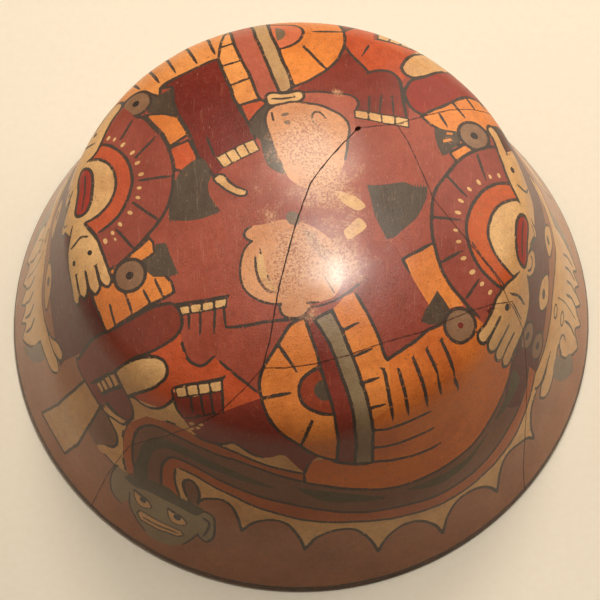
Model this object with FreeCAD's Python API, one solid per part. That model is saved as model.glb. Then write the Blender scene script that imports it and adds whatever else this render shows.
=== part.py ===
import FreeCAD, Part
import math
import os

# Earthenware bowl with a round bottom, a soft shoulder and a flaring wall.
# It was broken into four sherds and rejoined, and adhesive fills the joints between them.
# It stands on its rim, mouth down, so that its outside faces up.
# The origin is the middle of the mouth on the plane of the rim, and +Z points to the crown.
# Lengths are in millimetres and angles in degrees.

# Sizes of the fired body
rim_diameter = 220.0        # across the lip at its widest
wall_thickness = 5.0        # measured square to the wall
crown_radius = 210.0        # curvature of the nearly flat middle of the bottom
shoulder_radius = 22.0      # curvature where the bottom turns into the wall
flare_reach = 27.4          # how far the lip stands out beyond the shoulder
lip_rounding = 1.5          # rounding of both edges of the lip

# Slopes of the outside, measured down from level, where one arc meets the next
crown_slope = 12.0
haunch_slope = 25.0
wall_slope = 74.0
rim_slope = 68.0

# The lip keeps a flat to stand on, so its roundings take at most this share of the wall
lip_rounding_share = 0.4

# Sizes of the joints
seam_width = 0.5            # adhesive between two sherds, on the outside

# A joint runs on past a fork by this share of its width, so that no sliver is left there
fork_overrun_share = 0.3

# The cutters for the joints run from well inside the hollow to well outside the wall.
# Both ends are shares of the distance from the middle of the mouth to the outside.
cutter_inner_share = 0.6
cutter_outer_share = 1.3

# Places on the outside, on a flat chart of it.
# The crown is the chart's middle, +X is right and +Y is back. A point's direction there is its direction
# from the crown, and its distance is its distance down the outside, as a share of that from crown to lip.
back_hole_share = (0.128, 0.149)
back_fork_share = (0.207, 0.163)
right_fork_share = (0.437, -0.207)
left_fork_share = (-0.079, -0.349)

# Joints, each as the points that it passes. Those that end at the lip run just past it.
seam_shares = {
    "glue_seam_crown_left": [
        back_hole_share, (0.096, 0.113), (0.062, 0.071), (0.045, 0.048), (0.028, 0.023), (0.011, -0.023),
        (-0.006, -0.071), (-0.023, -0.130), (-0.041, -0.193), (-0.051, -0.238), (-0.061, -0.289),
        left_fork_share],
    "glue_seam_crown_back": [
        back_hole_share, (0.162, 0.156), back_fork_share],
    "glue_seam_back_right": [
        back_fork_share, (0.249, 0.181), (0.323, 0.213), (0.397, 0.232), (0.499, 0.278), (0.601, 0.351),
        (0.709, 0.454), (0.811, 0.550), (0.854, 0.579)],
    "glue_seam_crown_right": [
        back_fork_share, (0.224, 0.130), (0.241, 0.085), (0.261, 0.028), (0.272, -0.006), (0.306, -0.051),
        (0.346, -0.099), (0.391, -0.150), right_fork_share],
    "glue_seam_crown_front": [
        left_fork_share, (-0.034, -0.351), (0.023, -0.346), (0.091, -0.330), (0.170, -0.303),
        (0.232, -0.286), (0.295, -0.257), (0.346, -0.235), (0.391, -0.218), right_fork_share],
    "glue_seam_front_right": [
        right_fork_share, (0.493, -0.232), (0.539, -0.255), (0.584, -0.306), (0.624, -0.374),
        (0.658, -0.459), (0.680, -0.533), (0.700, -0.607), (0.728, -0.683), (0.752, -0.705)],
    "glue_seam_front_left": [
        left_fork_share, (-0.119, -0.388), (-0.176, -0.434), (-0.261, -0.473), (-0.340, -0.499),
        (-0.482, -0.524), (-0.607, -0.590), (-0.731, -0.675), (-0.760, -0.697)],
}

# One place well inside each sherd, which tells the sherds apart
sherd_shares = {
    "sherd_left": (-0.400, 0.200),
    "sherd_crown": (0.100, -0.150),
    "sherd_front": (0.100, -0.700),
    "sherd_right": (0.600, 0.050),
}


def sin(degrees):
    return math.sin(math.radians(degrees))


def cos(degrees):
    return math.cos(math.radians(degrees))


# Sizes that follow from the ones above
rim_radius = rim_diameter / 2
lip_round = min(lip_rounding, wall_thickness * lip_rounding_share)
# The sharp corner that the lip's outer rounding takes off
corner_radius = rim_radius + lip_round * (1 / math.tan(math.radians(rim_slope) / 2) - 1)
shoulder_foot_radius = corner_radius - flare_reach
flare_radius = flare_reach / (sin(wall_slope) - sin(rim_slope))
crown_edge_radius = crown_radius * sin(crown_slope)
shoulder_run = shoulder_radius * (sin(wall_slope) - sin(haunch_slope))
haunch_run = shoulder_foot_radius - shoulder_run - crown_edge_radius
haunch_radius = haunch_run / (sin(haunch_slope) - sin(crown_slope))

# The arcs of the outside from the crown down, each as its radius and its two slopes.
# The flare is hollow seen from outside: its slope lessens towards the lip.
outside_arcs = [
    (crown_radius, 0, crown_slope),
    (haunch_radius, crown_slope, haunch_slope),
    (shoulder_radius, haunch_slope, wall_slope),
    (flare_radius, wall_slope, rim_slope),
]
bowl_height = sum(radius * abs(cos(first) - cos(last)) for radius, first, last in outside_arcs)
chart_reach = sum(radius * math.radians(abs(last - first)) for radius, first, last in outside_arcs)


def arc_centres():
    """Centre of each arc of the outside, as its distance from the axis and its height."""
    centres = []
    out = 0.0
    height = bowl_height
    for radius, first, last in outside_arcs:
        side = 1 if last > first else -1
        centre = (out - side * radius * sin(first), height - side * radius * cos(first))
        centres.append((centre, side))
        out = centre[0] + side * radius * sin(last)
        height = centre[1] + side * radius * cos(last)
    return centres


def on_arc(centre, side, radius, slope):
    """Point of a wall arc where it has the given slope."""
    return FreeCAD.Vector(centre[0] + side * radius * sin(slope), 0, centre[1] + side * radius * cos(slope))


def wall_curve(depth):
    """Arcs of the wall at a depth below the outside, from the axis down to the plane of the rim."""
    edges = []
    for (radius, first, last), (centre, side) in zip(outside_arcs, arc_centres()):
        shifted = radius - side * depth
        if side < 0:
            last = math.degrees(math.acos(centre[1] / shifted))
        points = [on_arc(centre, side, shifted, slope) for slope in (first, (first + last) / 2, last)]
        edges.append(Part.Arc(*points).toShape())
    return edges


def make_body():
    """The whole fired bowl, before it broke."""
    outside = wall_curve(0)
    inside = wall_curve(wall_thickness)
    crown_line = Part.makeLine(outside[0].firstVertex().Point, inside[0].firstVertex().Point)
    rim_line = Part.makeLine(outside[-1].lastVertex().Point, inside[-1].lastVertex().Point)
    outline = Part.Wire(Part.__sortEdges__(outside + [rim_line] + inside + [crown_line]))
    body = Part.Face(outline).revolve(FreeCAD.Vector(0, 0, 0), FreeCAD.Vector(0, 0, 1), 360)
    return body.makeFillet(lip_round, lip_edges(body))


def lip_edges(body):
    """The two sharp circles of the lip, which lie on the plane of the rim."""
    return [edge for edge in body.Edges if edge.BoundBox.ZMax < lip_round / 2]


def outside_point(place):
    """Point of the outside at a place on the chart. Past the lip it runs straight on down."""
    reach = math.hypot(*place) * chart_reach
    slope = 0
    for (radius, first, last), (centre, side) in zip(outside_arcs, arc_centres()):
        length = radius * math.radians(abs(last - first))
        slope = first + side * math.degrees(min(reach, length) / radius)
        point = on_arc(centre, side, radius, slope)
        reach = max(reach - length, 0)
        if reach == 0:
            break
    out = point.x + reach * cos(slope)
    height = point.z - reach * sin(slope)
    azimuth = math.atan2(place[1], place[0])
    return FreeCAD.Vector(out * math.cos(azimuth), out * math.sin(azimuth), height)


def seam_points(places):
    """Points of a joint on the outside, with both ends run on a little."""
    points = [outside_point(place) for place in places]
    overrun = seam_width * fork_overrun_share
    start = (points[0] - points[1]).normalize() * overrun
    end = (points[-1] - points[-2]).normalize() * overrun
    return [points[0] + start] + points[1:-1] + [points[-1] + end]


def seam_edges(points):
    """The two edges of a joint on the outside, half a width to each side of its points."""
    left = []
    right = []
    for index, point in enumerate(points):
        before = points[max(index - 1, 0)]
        after = points[min(index + 1, len(points) - 1)]
        across = (after - before).cross(point).normalize() * (seam_width / 2)
        left.append(point + across)
        right.append(point - across)
    return left, right


def make_cutter(places):
    """Solid that cuts one joint out of the wall, with its faces towards the middle of the mouth."""
    left, right = seam_edges(seam_points(places))
    faces = []

    def add(*corners):
        faces.append(Part.Face(Part.makePolygon(list(corners) + [corners[0]])))

    inner_left = [point * cutter_inner_share for point in left]
    inner_right = [point * cutter_inner_share for point in right]
    outer_left = [point * cutter_outer_share for point in left]
    outer_right = [point * cutter_outer_share for point in right]
    for near, far in zip(range(len(left) - 1), range(1, len(left))):
        add(inner_left[near], outer_left[near], outer_left[far], inner_left[far])
        add(inner_right[near], outer_right[near], outer_right[far], inner_right[far])
        for edge_left, edge_right in ((inner_left, inner_right), (outer_left, outer_right)):
            add(edge_left[near], edge_right[near], edge_right[far])
            add(edge_left[near], edge_right[far], edge_left[far])
    for end in (0, -1):
        add(inner_left[end], outer_left[end], outer_right[end], inner_right[end])
    cutter = Part.Solid(Part.Shell(faces))
    if cutter.Volume < 0:
        cutter.reverse()
    return cutter


def make_seams(body, cutters):
    """Adhesive of each joint. Where two joints meet, the first keeps the shared corner."""
    seams = {}
    earlier = []
    for name, cutter in cutters.items():
        seam = body.common(cutter)
        if earlier:
            seam = seam.cut(earlier)
        seams[name] = largest_solid(seam)
        earlier.append(cutter)
    return seams


def largest_solid(shape):
    return max(shape.Solids, key=lambda solid: solid.Volume)


def make_sherds(body, cutters):
    """The sherds, told apart by the place that each one holds."""
    pieces = body.cut(list(cutters.values())).Solids
    sherds = {}
    for name, place in sherd_shares.items():
        point = outside_point(place)
        sherds[name] = min(pieces, key=lambda piece: piece.distToShape(Part.Vertex(point))[0])
    return sherds


def main():
    os.makedirs("parts", exist_ok=True)
    body = make_body()
    cutters = {name: make_cutter(places) for name, places in seam_shares.items()}
    nodes = make_sherds(body, cutters)
    nodes.update(make_seams(body, cutters))
    for name, shape in nodes.items():
        shape.exportStep(os.path.join("parts", name + ".step"))
        print(name, "volume", round(shape.Volume, 1), "valid", shape.isValid(), "solids", len(shape.Solids))
    total = sum(shape.Volume for shape in nodes.values())
    print("height", round(bowl_height, 2), "chart reach", round(chart_reach, 2), "haunch", round(haunch_radius, 2))
    print("body volume", round(body.Volume, 1), "sum of the pieces", round(total, 1))


main()
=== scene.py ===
import math

import bpy
import numpy as np
from mathutils import Matrix, Vector, noise
from mathutils.geometry import delaunay_2d_cdt


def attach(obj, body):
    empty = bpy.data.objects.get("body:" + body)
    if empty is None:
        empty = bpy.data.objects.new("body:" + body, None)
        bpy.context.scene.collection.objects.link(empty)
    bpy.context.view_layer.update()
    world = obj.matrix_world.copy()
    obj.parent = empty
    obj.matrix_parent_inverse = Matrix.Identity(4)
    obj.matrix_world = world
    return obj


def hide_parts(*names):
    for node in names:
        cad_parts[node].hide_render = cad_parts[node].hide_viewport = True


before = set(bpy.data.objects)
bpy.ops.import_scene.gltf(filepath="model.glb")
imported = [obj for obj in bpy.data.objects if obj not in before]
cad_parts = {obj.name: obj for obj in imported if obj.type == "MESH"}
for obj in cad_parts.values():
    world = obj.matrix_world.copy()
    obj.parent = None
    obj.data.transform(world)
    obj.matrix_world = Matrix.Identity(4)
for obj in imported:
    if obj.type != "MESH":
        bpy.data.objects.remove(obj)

noise.seed_set(8)     # without a seed, noise_vector takes one from the clock

# The painted looks of an earthenware bowl that was rejoined from four sherds.
# The bowl rests on its rim, mouth down. The whole outside is painted in slips and burnished.
#
# Everything is drawn on a flat chart of the outside, in millimetres. The crown is the chart's middle,
# +X is right and +Y is back. A point's distance from the middle is its distance down the outside, and
# its direction is its direction from the crown. The chart is then laid on the bowl's surface.

MM = 0.001
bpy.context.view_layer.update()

# Sizes of the fired body, as in the part's source
RIM_DIAMETER = 220.0
WALL = 5.0
CROWN_RADIUS = 210.0
SHOULDER_RADIUS = 22.0
FLARE_REACH = 27.4
LIP_ROUND = 1.5
CROWN_SLOPE = 12.0
HAUNCH_SLOPE = 25.0
WALL_SLOPE = 74.0
RIM_SLOPE = 68.0

# Joints between the sherds, as shares of the chart's reach, as in the part's source
SEAM_WIDTH = 0.5
BACK_HOLE = (0.128, 0.149)
BACK_FORK = (0.207, 0.163)
RIGHT_FORK = (0.437, -0.207)
LEFT_FORK = (-0.079, -0.349)
SEAM_SHARES = {
    "glue_seam_crown_left": [
        BACK_HOLE, (0.096, 0.113), (0.062, 0.071), (0.045, 0.048), (0.028, 0.023), (0.011, -0.023),
        (-0.006, -0.071), (-0.023, -0.130), (-0.041, -0.193), (-0.051, -0.238), (-0.061, -0.289), LEFT_FORK],
    "glue_seam_crown_back": [
        BACK_HOLE, (0.162, 0.156), BACK_FORK],
    "glue_seam_back_right": [
        BACK_FORK, (0.249, 0.181), (0.323, 0.213), (0.397, 0.232), (0.499, 0.278), (0.601, 0.351),
        (0.709, 0.454), (0.811, 0.550), (0.854, 0.579)],
    "glue_seam_crown_right": [
        BACK_FORK, (0.224, 0.130), (0.241, 0.085), (0.261, 0.028), (0.272, -0.006), (0.306, -0.051),
        (0.346, -0.099), (0.391, -0.150), RIGHT_FORK],
    "glue_seam_crown_front": [
        LEFT_FORK, (-0.034, -0.351), (0.023, -0.346), (0.091, -0.330), (0.170, -0.303), (0.232, -0.286),
        (0.295, -0.257), (0.346, -0.235), (0.391, -0.218), RIGHT_FORK],
    "glue_seam_front_right": [
        RIGHT_FORK, (0.493, -0.232), (0.539, -0.255), (0.584, -0.306), (0.624, -0.374), (0.658, -0.459),
        (0.680, -0.533), (0.700, -0.607), (0.728, -0.683), (0.752, -0.705)],
    "glue_seam_front_left": [
        LEFT_FORK, (-0.119, -0.388), (-0.176, -0.434), (-0.261, -0.473), (-0.340, -0.499), (-0.482, -0.524),
        (-0.607, -0.590), (-0.731, -0.675), (-0.760, -0.697)],
}
SHERD_SHARES = {
    "sherd_left": (-0.400, 0.200),
    "sherd_crown": (0.100, -0.150),
    "sherd_front": (0.100, -0.700),
    "sherd_right": (0.600, 0.050),
}

# How finely the chart is divided, in millimetres
STEP = 1.6            # along an outline or a line
GRID = 3.4            # between the points of the plain surface
INNER_GRID = 5.0      # between the points of the inside
HALO = 0.5            # painted lines are worked out this far past their edges
TREMOR = 0.3          # how far the painter's hand strays
TREMOR_LENGTH = 9.0
DENT = 0.35           # depth of the hollows that shaping by hand left
DENT_LENGTH = 26.0
SEAM_SINK = 0.08      # the adhesive lies this far below the surface
OPEN_SINK = 0.4       # and this far where the joint stands open
OPEN_SEAMS = ("glue_seam_crown_left",)
SEAM_RAGGED = 0.16    # how far a broken edge strays
LIP_TOUCH = 0.06      # points this near the lip belong to it
CHART_MERGE = 0.01    # points of the drawing this near become one
INSIDE_MERGE = 0.001
COVER = 0.4           # an area hides lines from this far inside its edge
HOLE_SIZE = (1.3, 0.9)
HOLE_TURN = 35
RED_REACH = 128       # the red ground ends here, under the wall's ornament
RIM_LINE = 3.0        # the dark line round the rim runs this far from the edge
TUCK = 10             # the inside is drawn in over this last stretch
INSIDE_SINK_SHARE = 0.5
LIP_STEPS = 7         # along each of the lip's two roundings

# Kinds of faces, each with a material of its own
OUTSIDE, INSIDE, BROKEN, LIP = range(4)


def sin(degrees):
    return math.sin(math.radians(degrees))


def cos(degrees):
    return math.cos(math.radians(degrees))


def outside_arcs():
    """The arcs of the outside from the crown down: centre, side, radius, first slope and last slope."""
    lip = RIM_DIAMETER / 2 + LIP_ROUND * (1 / math.tan(math.radians(RIM_SLOPE) / 2) - 1)
    foot = lip - FLARE_REACH
    flare = FLARE_REACH / (sin(WALL_SLOPE) - sin(RIM_SLOPE))
    run = foot - SHOULDER_RADIUS * (sin(WALL_SLOPE) - sin(HAUNCH_SLOPE)) - CROWN_RADIUS * sin(CROWN_SLOPE)
    haunch = run / (sin(HAUNCH_SLOPE) - sin(CROWN_SLOPE))
    arcs = [(CROWN_RADIUS, 0, CROWN_SLOPE), (haunch, CROWN_SLOPE, HAUNCH_SLOPE), (SHOULDER_RADIUS,
            HAUNCH_SLOPE, WALL_SLOPE), (flare, WALL_SLOPE, RIM_SLOPE)]
    out, height = 0.0, sum(radius * abs(cos(first) - cos(last)) for radius, first, last in arcs)
    found = []
    for radius, first, last in arcs:
        side = 1 if last > first else -1
        centre = (out - side * radius * sin(first), height - side * radius * cos(first))
        found.append((centre, side, radius, first, last))
        out = centre[0] + side * radius * sin(last)
        height = centre[1] + side * radius * cos(last)
    return found


ARCS = outside_arcs()
REACH = sum(radius * math.radians(abs(last - first)) for _, _, radius, first, last in ARCS)


def profile(reach):
    """Distance from the axis, height and slope of the outside at a distance down it."""
    reach = np.asarray(reach, float)
    out, height, slope = np.zeros_like(reach), np.zeros_like(reach), np.zeros_like(reach)
    start = 0.0
    for index, (centre, side, radius, first, last) in enumerate(ARCS):
        length = radius * math.radians(abs(last - first))
        here = reach >= start if index else np.ones(reach.shape, bool)
        angle = math.radians(first) + side * (reach - start) / radius
        out = np.where(here, centre[0] + side * radius * np.sin(angle), out)
        height = np.where(here, centre[1] + side * radius * np.cos(angle), height)
        slope = np.where(here, angle, slope)
        start += length
    return out, height, slope


# Where the lip's roundings begin, outside and inside
LIP_HEIGHT = LIP_ROUND * (1 + cos(RIM_SLOPE))
INNER_LIP_HEIGHT = LIP_ROUND + (WALL - LIP_ROUND) * cos(RIM_SLOPE)
LIP_REACH = REACH - LIP_HEIGHT / sin(RIM_SLOPE)
INNER_LIP_REACH = REACH - INNER_LIP_HEIGHT / sin(RIM_SLOPE)


def dents(chart):
    """How far the surface lies below its true shape, from shaping by hand. The lip stays true."""
    found = np.empty(len(chart))
    for index, (x, y) in enumerate(chart):
        where = Vector((x / DENT_LENGTH, y / DENT_LENGTH, 4.7))
        found[index] = 0.5 + 0.5 * noise.noise(where) + 0.2 * noise.noise(where * 2.7)
    fade = np.clip((LIP_REACH - np.hypot(chart[:, 0], chart[:, 1])) / 12, 0, 1)
    return DENT * np.clip(found, 0, 1) * fade


def on_bowl(chart, depth):
    """Points of the bowl at a depth below the outside, with the outside's own direction there."""
    chart = np.asarray(chart, float).reshape(-1, 2)
    reach = np.hypot(chart[:, 0], chart[:, 1])
    azimuth = np.arctan2(chart[:, 1], chart[:, 0])
    out, height, slope = profile(reach)
    normal = np.stack([np.sin(slope) * np.cos(azimuth), np.sin(slope) * np.sin(azimuth), np.cos(slope)], 1)
    point = np.stack([out * np.cos(azimuth), out * np.sin(azimuth), height], 1)
    return point - normal * np.reshape(depth, (-1, 1)), normal


def dented(chart, depth):
    """As on_bowl, with the dents in both the points and their directions."""
    chart = np.asarray(chart, float).reshape(-1, 2)
    small = 0.8
    point, normal = on_bowl(chart, depth + dents(chart))
    ahead, _ = on_bowl(chart + (small, 0), depth + dents(chart + (small, 0)))
    aside, _ = on_bowl(chart + (0, small), depth + dents(chart + (0, small)))
    direction = np.cross(ahead - point, aside - point)
    length = np.linalg.norm(direction, axis=1, keepdims=True)
    direction = np.where(length > 1e-9, direction / np.maximum(length, 1e-9), normal)
    return point, direction


# The painter's tools: areas lie over one another in the order of painting, and lines go on last
AREAS = []
LINES = []
WORN = []


def wall(azimuth, reach):
    """A place on the chart by its direction from the crown and its distance down the outside."""
    return (reach * cos(azimuth), reach * sin(azimuth))


def walls(*places):
    return [wall(azimuth, reach) for azimuth, reach in places]


def bend(*points, closed=False):
    """A smooth curve through a few points."""
    path = [np.array(point, float) for point in points]
    ends = (path[-1], path[0], path[1]) if closed else (2 * path[0] - path[1], 2 * path[-1] - path[-2])
    path = [ends[0]] + path + list(ends[1:])
    chords = [max(np.linalg.norm(b - a), 1e-6) for a, b in zip(path, path[1:])]
    found = []
    for i in range(1, len(path) - 2):
        before, here, after = chords[i - 1], chords[i], chords[i + 1]
        leave = ((path[i + 1] - path[i]) / here * before + (path[i] - path[i - 1]) / before * here)
        arrive = ((path[i + 2] - path[i + 1]) / after * here + (path[i + 1] - path[i]) / here * after)
        leave, arrive = leave / (before + here) * here, arrive / (here + after) * here
        for t in np.linspace(0, 1, max(2, int(here / STEP) + 1), endpoint=False):
            found.append((2 * t**3 - 3 * t**2 + 1) * path[i] + (t**3 - 2 * t**2 + t) * leave
                    + (3 * t**2 - 2 * t**3) * path[i + 1] + (t**3 - t**2) * arrive)
    if not closed:
        found.append(path[-2])
    return [tuple(point) for point in found]


def wall_bend(*places, closed=False):
    return bend(*walls(*places), closed=closed)


def arc(centre, radius, first, last):
    """Part of a circle on the chart, between two directions."""
    count = max(3, int(abs(last - first) * math.radians(1) * radius / STEP) + 1)
    return [(centre[0] + radius * cos(angle), centre[1]
            + radius * sin(angle)) for angle in np.linspace(first, last, count)]


def oval(centre, across, along=None, turn=0):
    """A closed oval that keeps its true size where the chart is stretched."""
    reach = math.hypot(*centre)
    stretch = reach / max(float(profile(reach)[0]), 1e-6) if reach > 1 else 1.0
    azimuth = math.degrees(math.atan2(centre[1], centre[0]))
    along = across if along is None else along
    count = max(10, int(2 * math.pi * max(across, along) / STEP) + 1)
    found = []
    for angle in np.arange(count) * 360 / count:
        x, y = across * cos(angle), along * sin(angle)
        x, y = x * cos(turn) - y * sin(turn), x * sin(turn) + y * cos(turn)
        down = x * cos(azimuth) + y * sin(azimuth)
        round_ = (-x * sin(azimuth) + y * cos(azimuth)) * stretch
        found.append((centre[0] + down * cos(azimuth) - round_ * sin(azimuth), centre[1]
                + down * sin(azimuth) + round_ * cos(azimuth)))
    return found


def half_turn(points):
    return [(-x, -y) for x, y in points]


def spaced(points, closed):
    """The same path with points no further apart than the step."""
    path = [np.array(point, float) for point in points]
    if closed:
        path.append(path[0])
    found = [path[0]]
    for a, b in zip(path, path[1:]):
        length = np.linalg.norm(b - a)
        if length < 1e-3:
            continue
        count = max(1, math.ceil(length / STEP))
        found += [a + (b - a) * (i + 1) / count for i in range(count)]
    return np.array(found[:-1] if closed else found)


def trembled(points):
    """The path as a hand draws it. Paths that meet stray alike."""
    found = points.copy()
    for index, (x, y) in enumerate(points):
        where = Vector((x / TREMOR_LENGTH, y / TREMOR_LENGTH, 0.37))
        stray = noise.noise_vector(where) + 0.4 * noise.noise_vector(where * 3.1)
        found[index] += np.array(stray[:2]) * TREMOR
    return found


def line(points, width=1.15, closed=False, taper=True):
    """A painted line, a little uneven, thinner at its free ends."""
    path = trembled(spaced(points, closed))
    if len(path) < 2:
        return
    half = np.empty(len(path))
    for index, (x, y) in enumerate(path):
        uneven = 0.17 * noise.noise(Vector((x / 4.1, y / 4.1,
                2.9))) + 0.1 * noise.noise(Vector((x, y, 7.7)))
        half[index] = width / 2 * (1 + uneven)
    if taper and not closed and len(path) > 4:
        half[0] *= 0.75
        half[-1] *= 0.5
        half[-2] *= 0.85
    LINES.append((path, half, closed, len(AREAS)))


def area(slip, outline, edge=1.15):
    """An area of one slip, and the line round it where it has one."""
    AREAS.append((slip, trembled(spaced(outline, True))))
    if edge:
        line(outline, edge, closed=True)


def fill(slip, outline):
    """An area without a line round it."""
    area(slip, outline, edge=0)


def strokes(width, *paths):
    for path in paths:
        line(path, width)


def dot(slip, centre, radius, along=None, turn=0, edge=0):
    area(slip, oval(centre, radius, along, turn), edge)


def worn(centre, radius, strength=1.0):
    """A place where handling has thinned the slip."""
    WORN.append((centre, radius, strength))


def row(start, end, far_end, far_start, count, divider=0.6, edge=0.6):
    """A pale row of claws or teeth, with dividers across it."""
    area("cream", [start, end, far_end, far_start], edge)
    for step in range(1, count):
        share = step / count
        near = [a + (b - a) * share for a, b in zip(start, end)]
        far = [a + (b - a) * share for a, b in zip(far_start, far_end)]
        line([near, far], divider, taper=False)


# The ornament: two figures lie head to tail round the crown, so much of it comes twice, half a turn apart.
# Where the two differ, each is drawn by itself.

def grounds():
    """The ground colours: red over the round bottom, and brown round the rim."""
    fill("brick", arc((0, 0), RED_REACH, 0, 358))
    rim = arc((0, 0), REACH + RIM_LINE, 0, 359)
    AREAS.insert(0, ("umber", trembled(spaced(rim, True))))
    line(arc((0, 0), REACH - RIM_LINE, 0, 359), 1.3, closed=True)


def both(draw):
    """Draws a part of the ornament, and again half a turn round."""
    for put in (list, half_turn):
        draw(put)


def scallops(put):
    """Cream ground of the wall, with the scalloped top of the brown rim."""
    cusps = [(-114, 134), (-104.2, 144), (-91, 151.5), (-76.2, 158.5), (-62.5, 163), (-48.5, 162),
            (-35.6, 157)]
    tops = [(-109, 128.6), (-96.8, 135), (-83.8, 141.4), (-69.6, 148.3), (-56.4, 149.7), (-42.3, 148.5)]
    edge = []
    for (left, left_reach), (top, top_reach), (right, right_reach) in zip(cusps, tops, cusps[1:]):
        span = right - left
        edge += bend(wall(left, left_reach), wall(left + 0.13 * span, (left_reach + 1.2 * top_reach) / 2.2),
                *walls((left + 0.3 * span, top_reach + 1.2), (top, top_reach), (right - 0.27 * span,
                top_reach + 2)), wall(right - 0.1 * span, (right_reach + top_reach) / 2),
                wall(right, right_reach))
    last = wall_bend((-35.6, 157), (-34.6, 147.5), (-32.6, 142), (-29.5, 139))
    top = walls((-30, 120), (-45, 100), (-70, 90), (-100, 78), (-125, 76), (-139, 96))
    left = wall_bend((-142.7, 120.5), (-140, 122), (-137, 125), (-135.7, 129.5), (-137, 134.5), (-139, 138),
            (-140.6, 141))
    foot = wall_bend((-140.6, 141), (-136, 141.6), (-132, 143)) + walls((-126, 150), (-118, 146))
    fill("cream", put(top + left + foot + edge + last))
    line(put(left), 1.2)
    line(put(foot[:-2]), 1.1)
    line(put(edge + last), 1.25)


def serpent(put):
    """The striped body that arches over the wall, and its head by the rim."""
    top = bend((-94, -105.5), (-92, -97), (-89, -90.5), (-85, -85), (-77, -80), (-71, -78.2), (-64, -78),
            (-55, -80.5), (-43, -86.5), (-30, -94.3), (-15, -103), (-2, -107.5))
    field = wall_bend((-91, 112), (-85, 116.3), (-75, 123), (-67, 126.6), (-57.5, 127.8), (-50, 127),
            (-45, 124), (-40, 119.5), (-35, 113.5), (-31, 107.5))
    low = wall_bend((-27.5, 131), (-33, 138), (-40, 144), (-50, 147), (-60, 146.8), (-70, 143.4),
            (-80, 138.6), (-90, 134.6), (-100, 129), (-110, 123), (-117, 120), (-119.7, 120.2))
    inner = wall_bend((-120.4, 121.5), (-120.2, 127), (-118.2, 137))
    fill("bark", put(top + field[1:] + [wall(-26, 121)] + low + inner + walls((-124, 142), (-132, 143))))
    fill("wine", put(wall_bend((-26, 121), (-29, 110), (-33, 110), (-37, 117), (-39, 124), (-36.5, 132),
            (-31, 135), (-27, 130), closed=True)))
    first = bend((-87.2, -105.6), (-86, -99.5), (-83.5, -94), (-80, -89), (-75, -84.8), (-69, -82.7),
            (-62, -83.3), (-54.5, -87), (-40, -95), (-28, -100.2), (-12, -108.3), wall(-91, 112.5))
    fill("rust", put(top + first[::-1]))
    line(put(top), 1.3)
    line(put(first), 1.2)
    fourth = wall_bend((-122.5, 137), (-123.4, 130.5), (-123.6, 122), (-122, 116.5), (-119, 114.7),
            (-115, 115.3), (-108, 118.6), (-100, 122.3), (-90, 127.2), (-80, 133.2), (-70, 137.4),
            (-60, 141.2), (-50, 141.3), (-40, 136.6), (-33, 131), (-28.5, 124))
    fill("rust", put(fourth + low + inner))
    line(put(fourth), 1.2)
    line(put(low), 1.15)
    line(put(inner), 1.15)
    line(put(field), 1.1)
    fill("olive", put(wall_bend((-129.8, 138), (-129.8, 126), (-129.2, 117), (-126.6, 110.4), (-121, 107),
            (-112, 108.3), (-104, 111.5), (-97, 116.4), (-104, 114.8), (-112, 112.8), (-119, 111.6),
            (-124, 113.4), (-126.4, 119), (-126.9, 128), (-126.6, 138), closed=True)))
    fill("olive", put(wall_bend((-92, 116.5), (-84, 119.6), (-76, 126), (-72.5, 129.5), (-80, 127.4),
            (-87, 123.6), closed=True)))
    fill("olive", put(wall_bend((-68, 129.3), (-60, 131), (-52, 131.4), (-46, 128.5), (-52, 134),
            (-60, 135.6), closed=True)))
    fill("olive", put(wall_bend((-43, 126), (-38, 121), (-33, 114.5), (-32.5, 121), (-38, 126),
            closed=True)))
    lobe = wall_bend((-114.2, 135.5), (-114, 130.5), (-114.8, 126), (-116.2, 123.8), (-117.8, 125.4),
            (-118, 128.4), (-117.2, 132.4), (-115.8, 137))
    fill("bark", put(lobe))
    line(put(lobe), 1.2)
    serpent_head(put)


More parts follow.
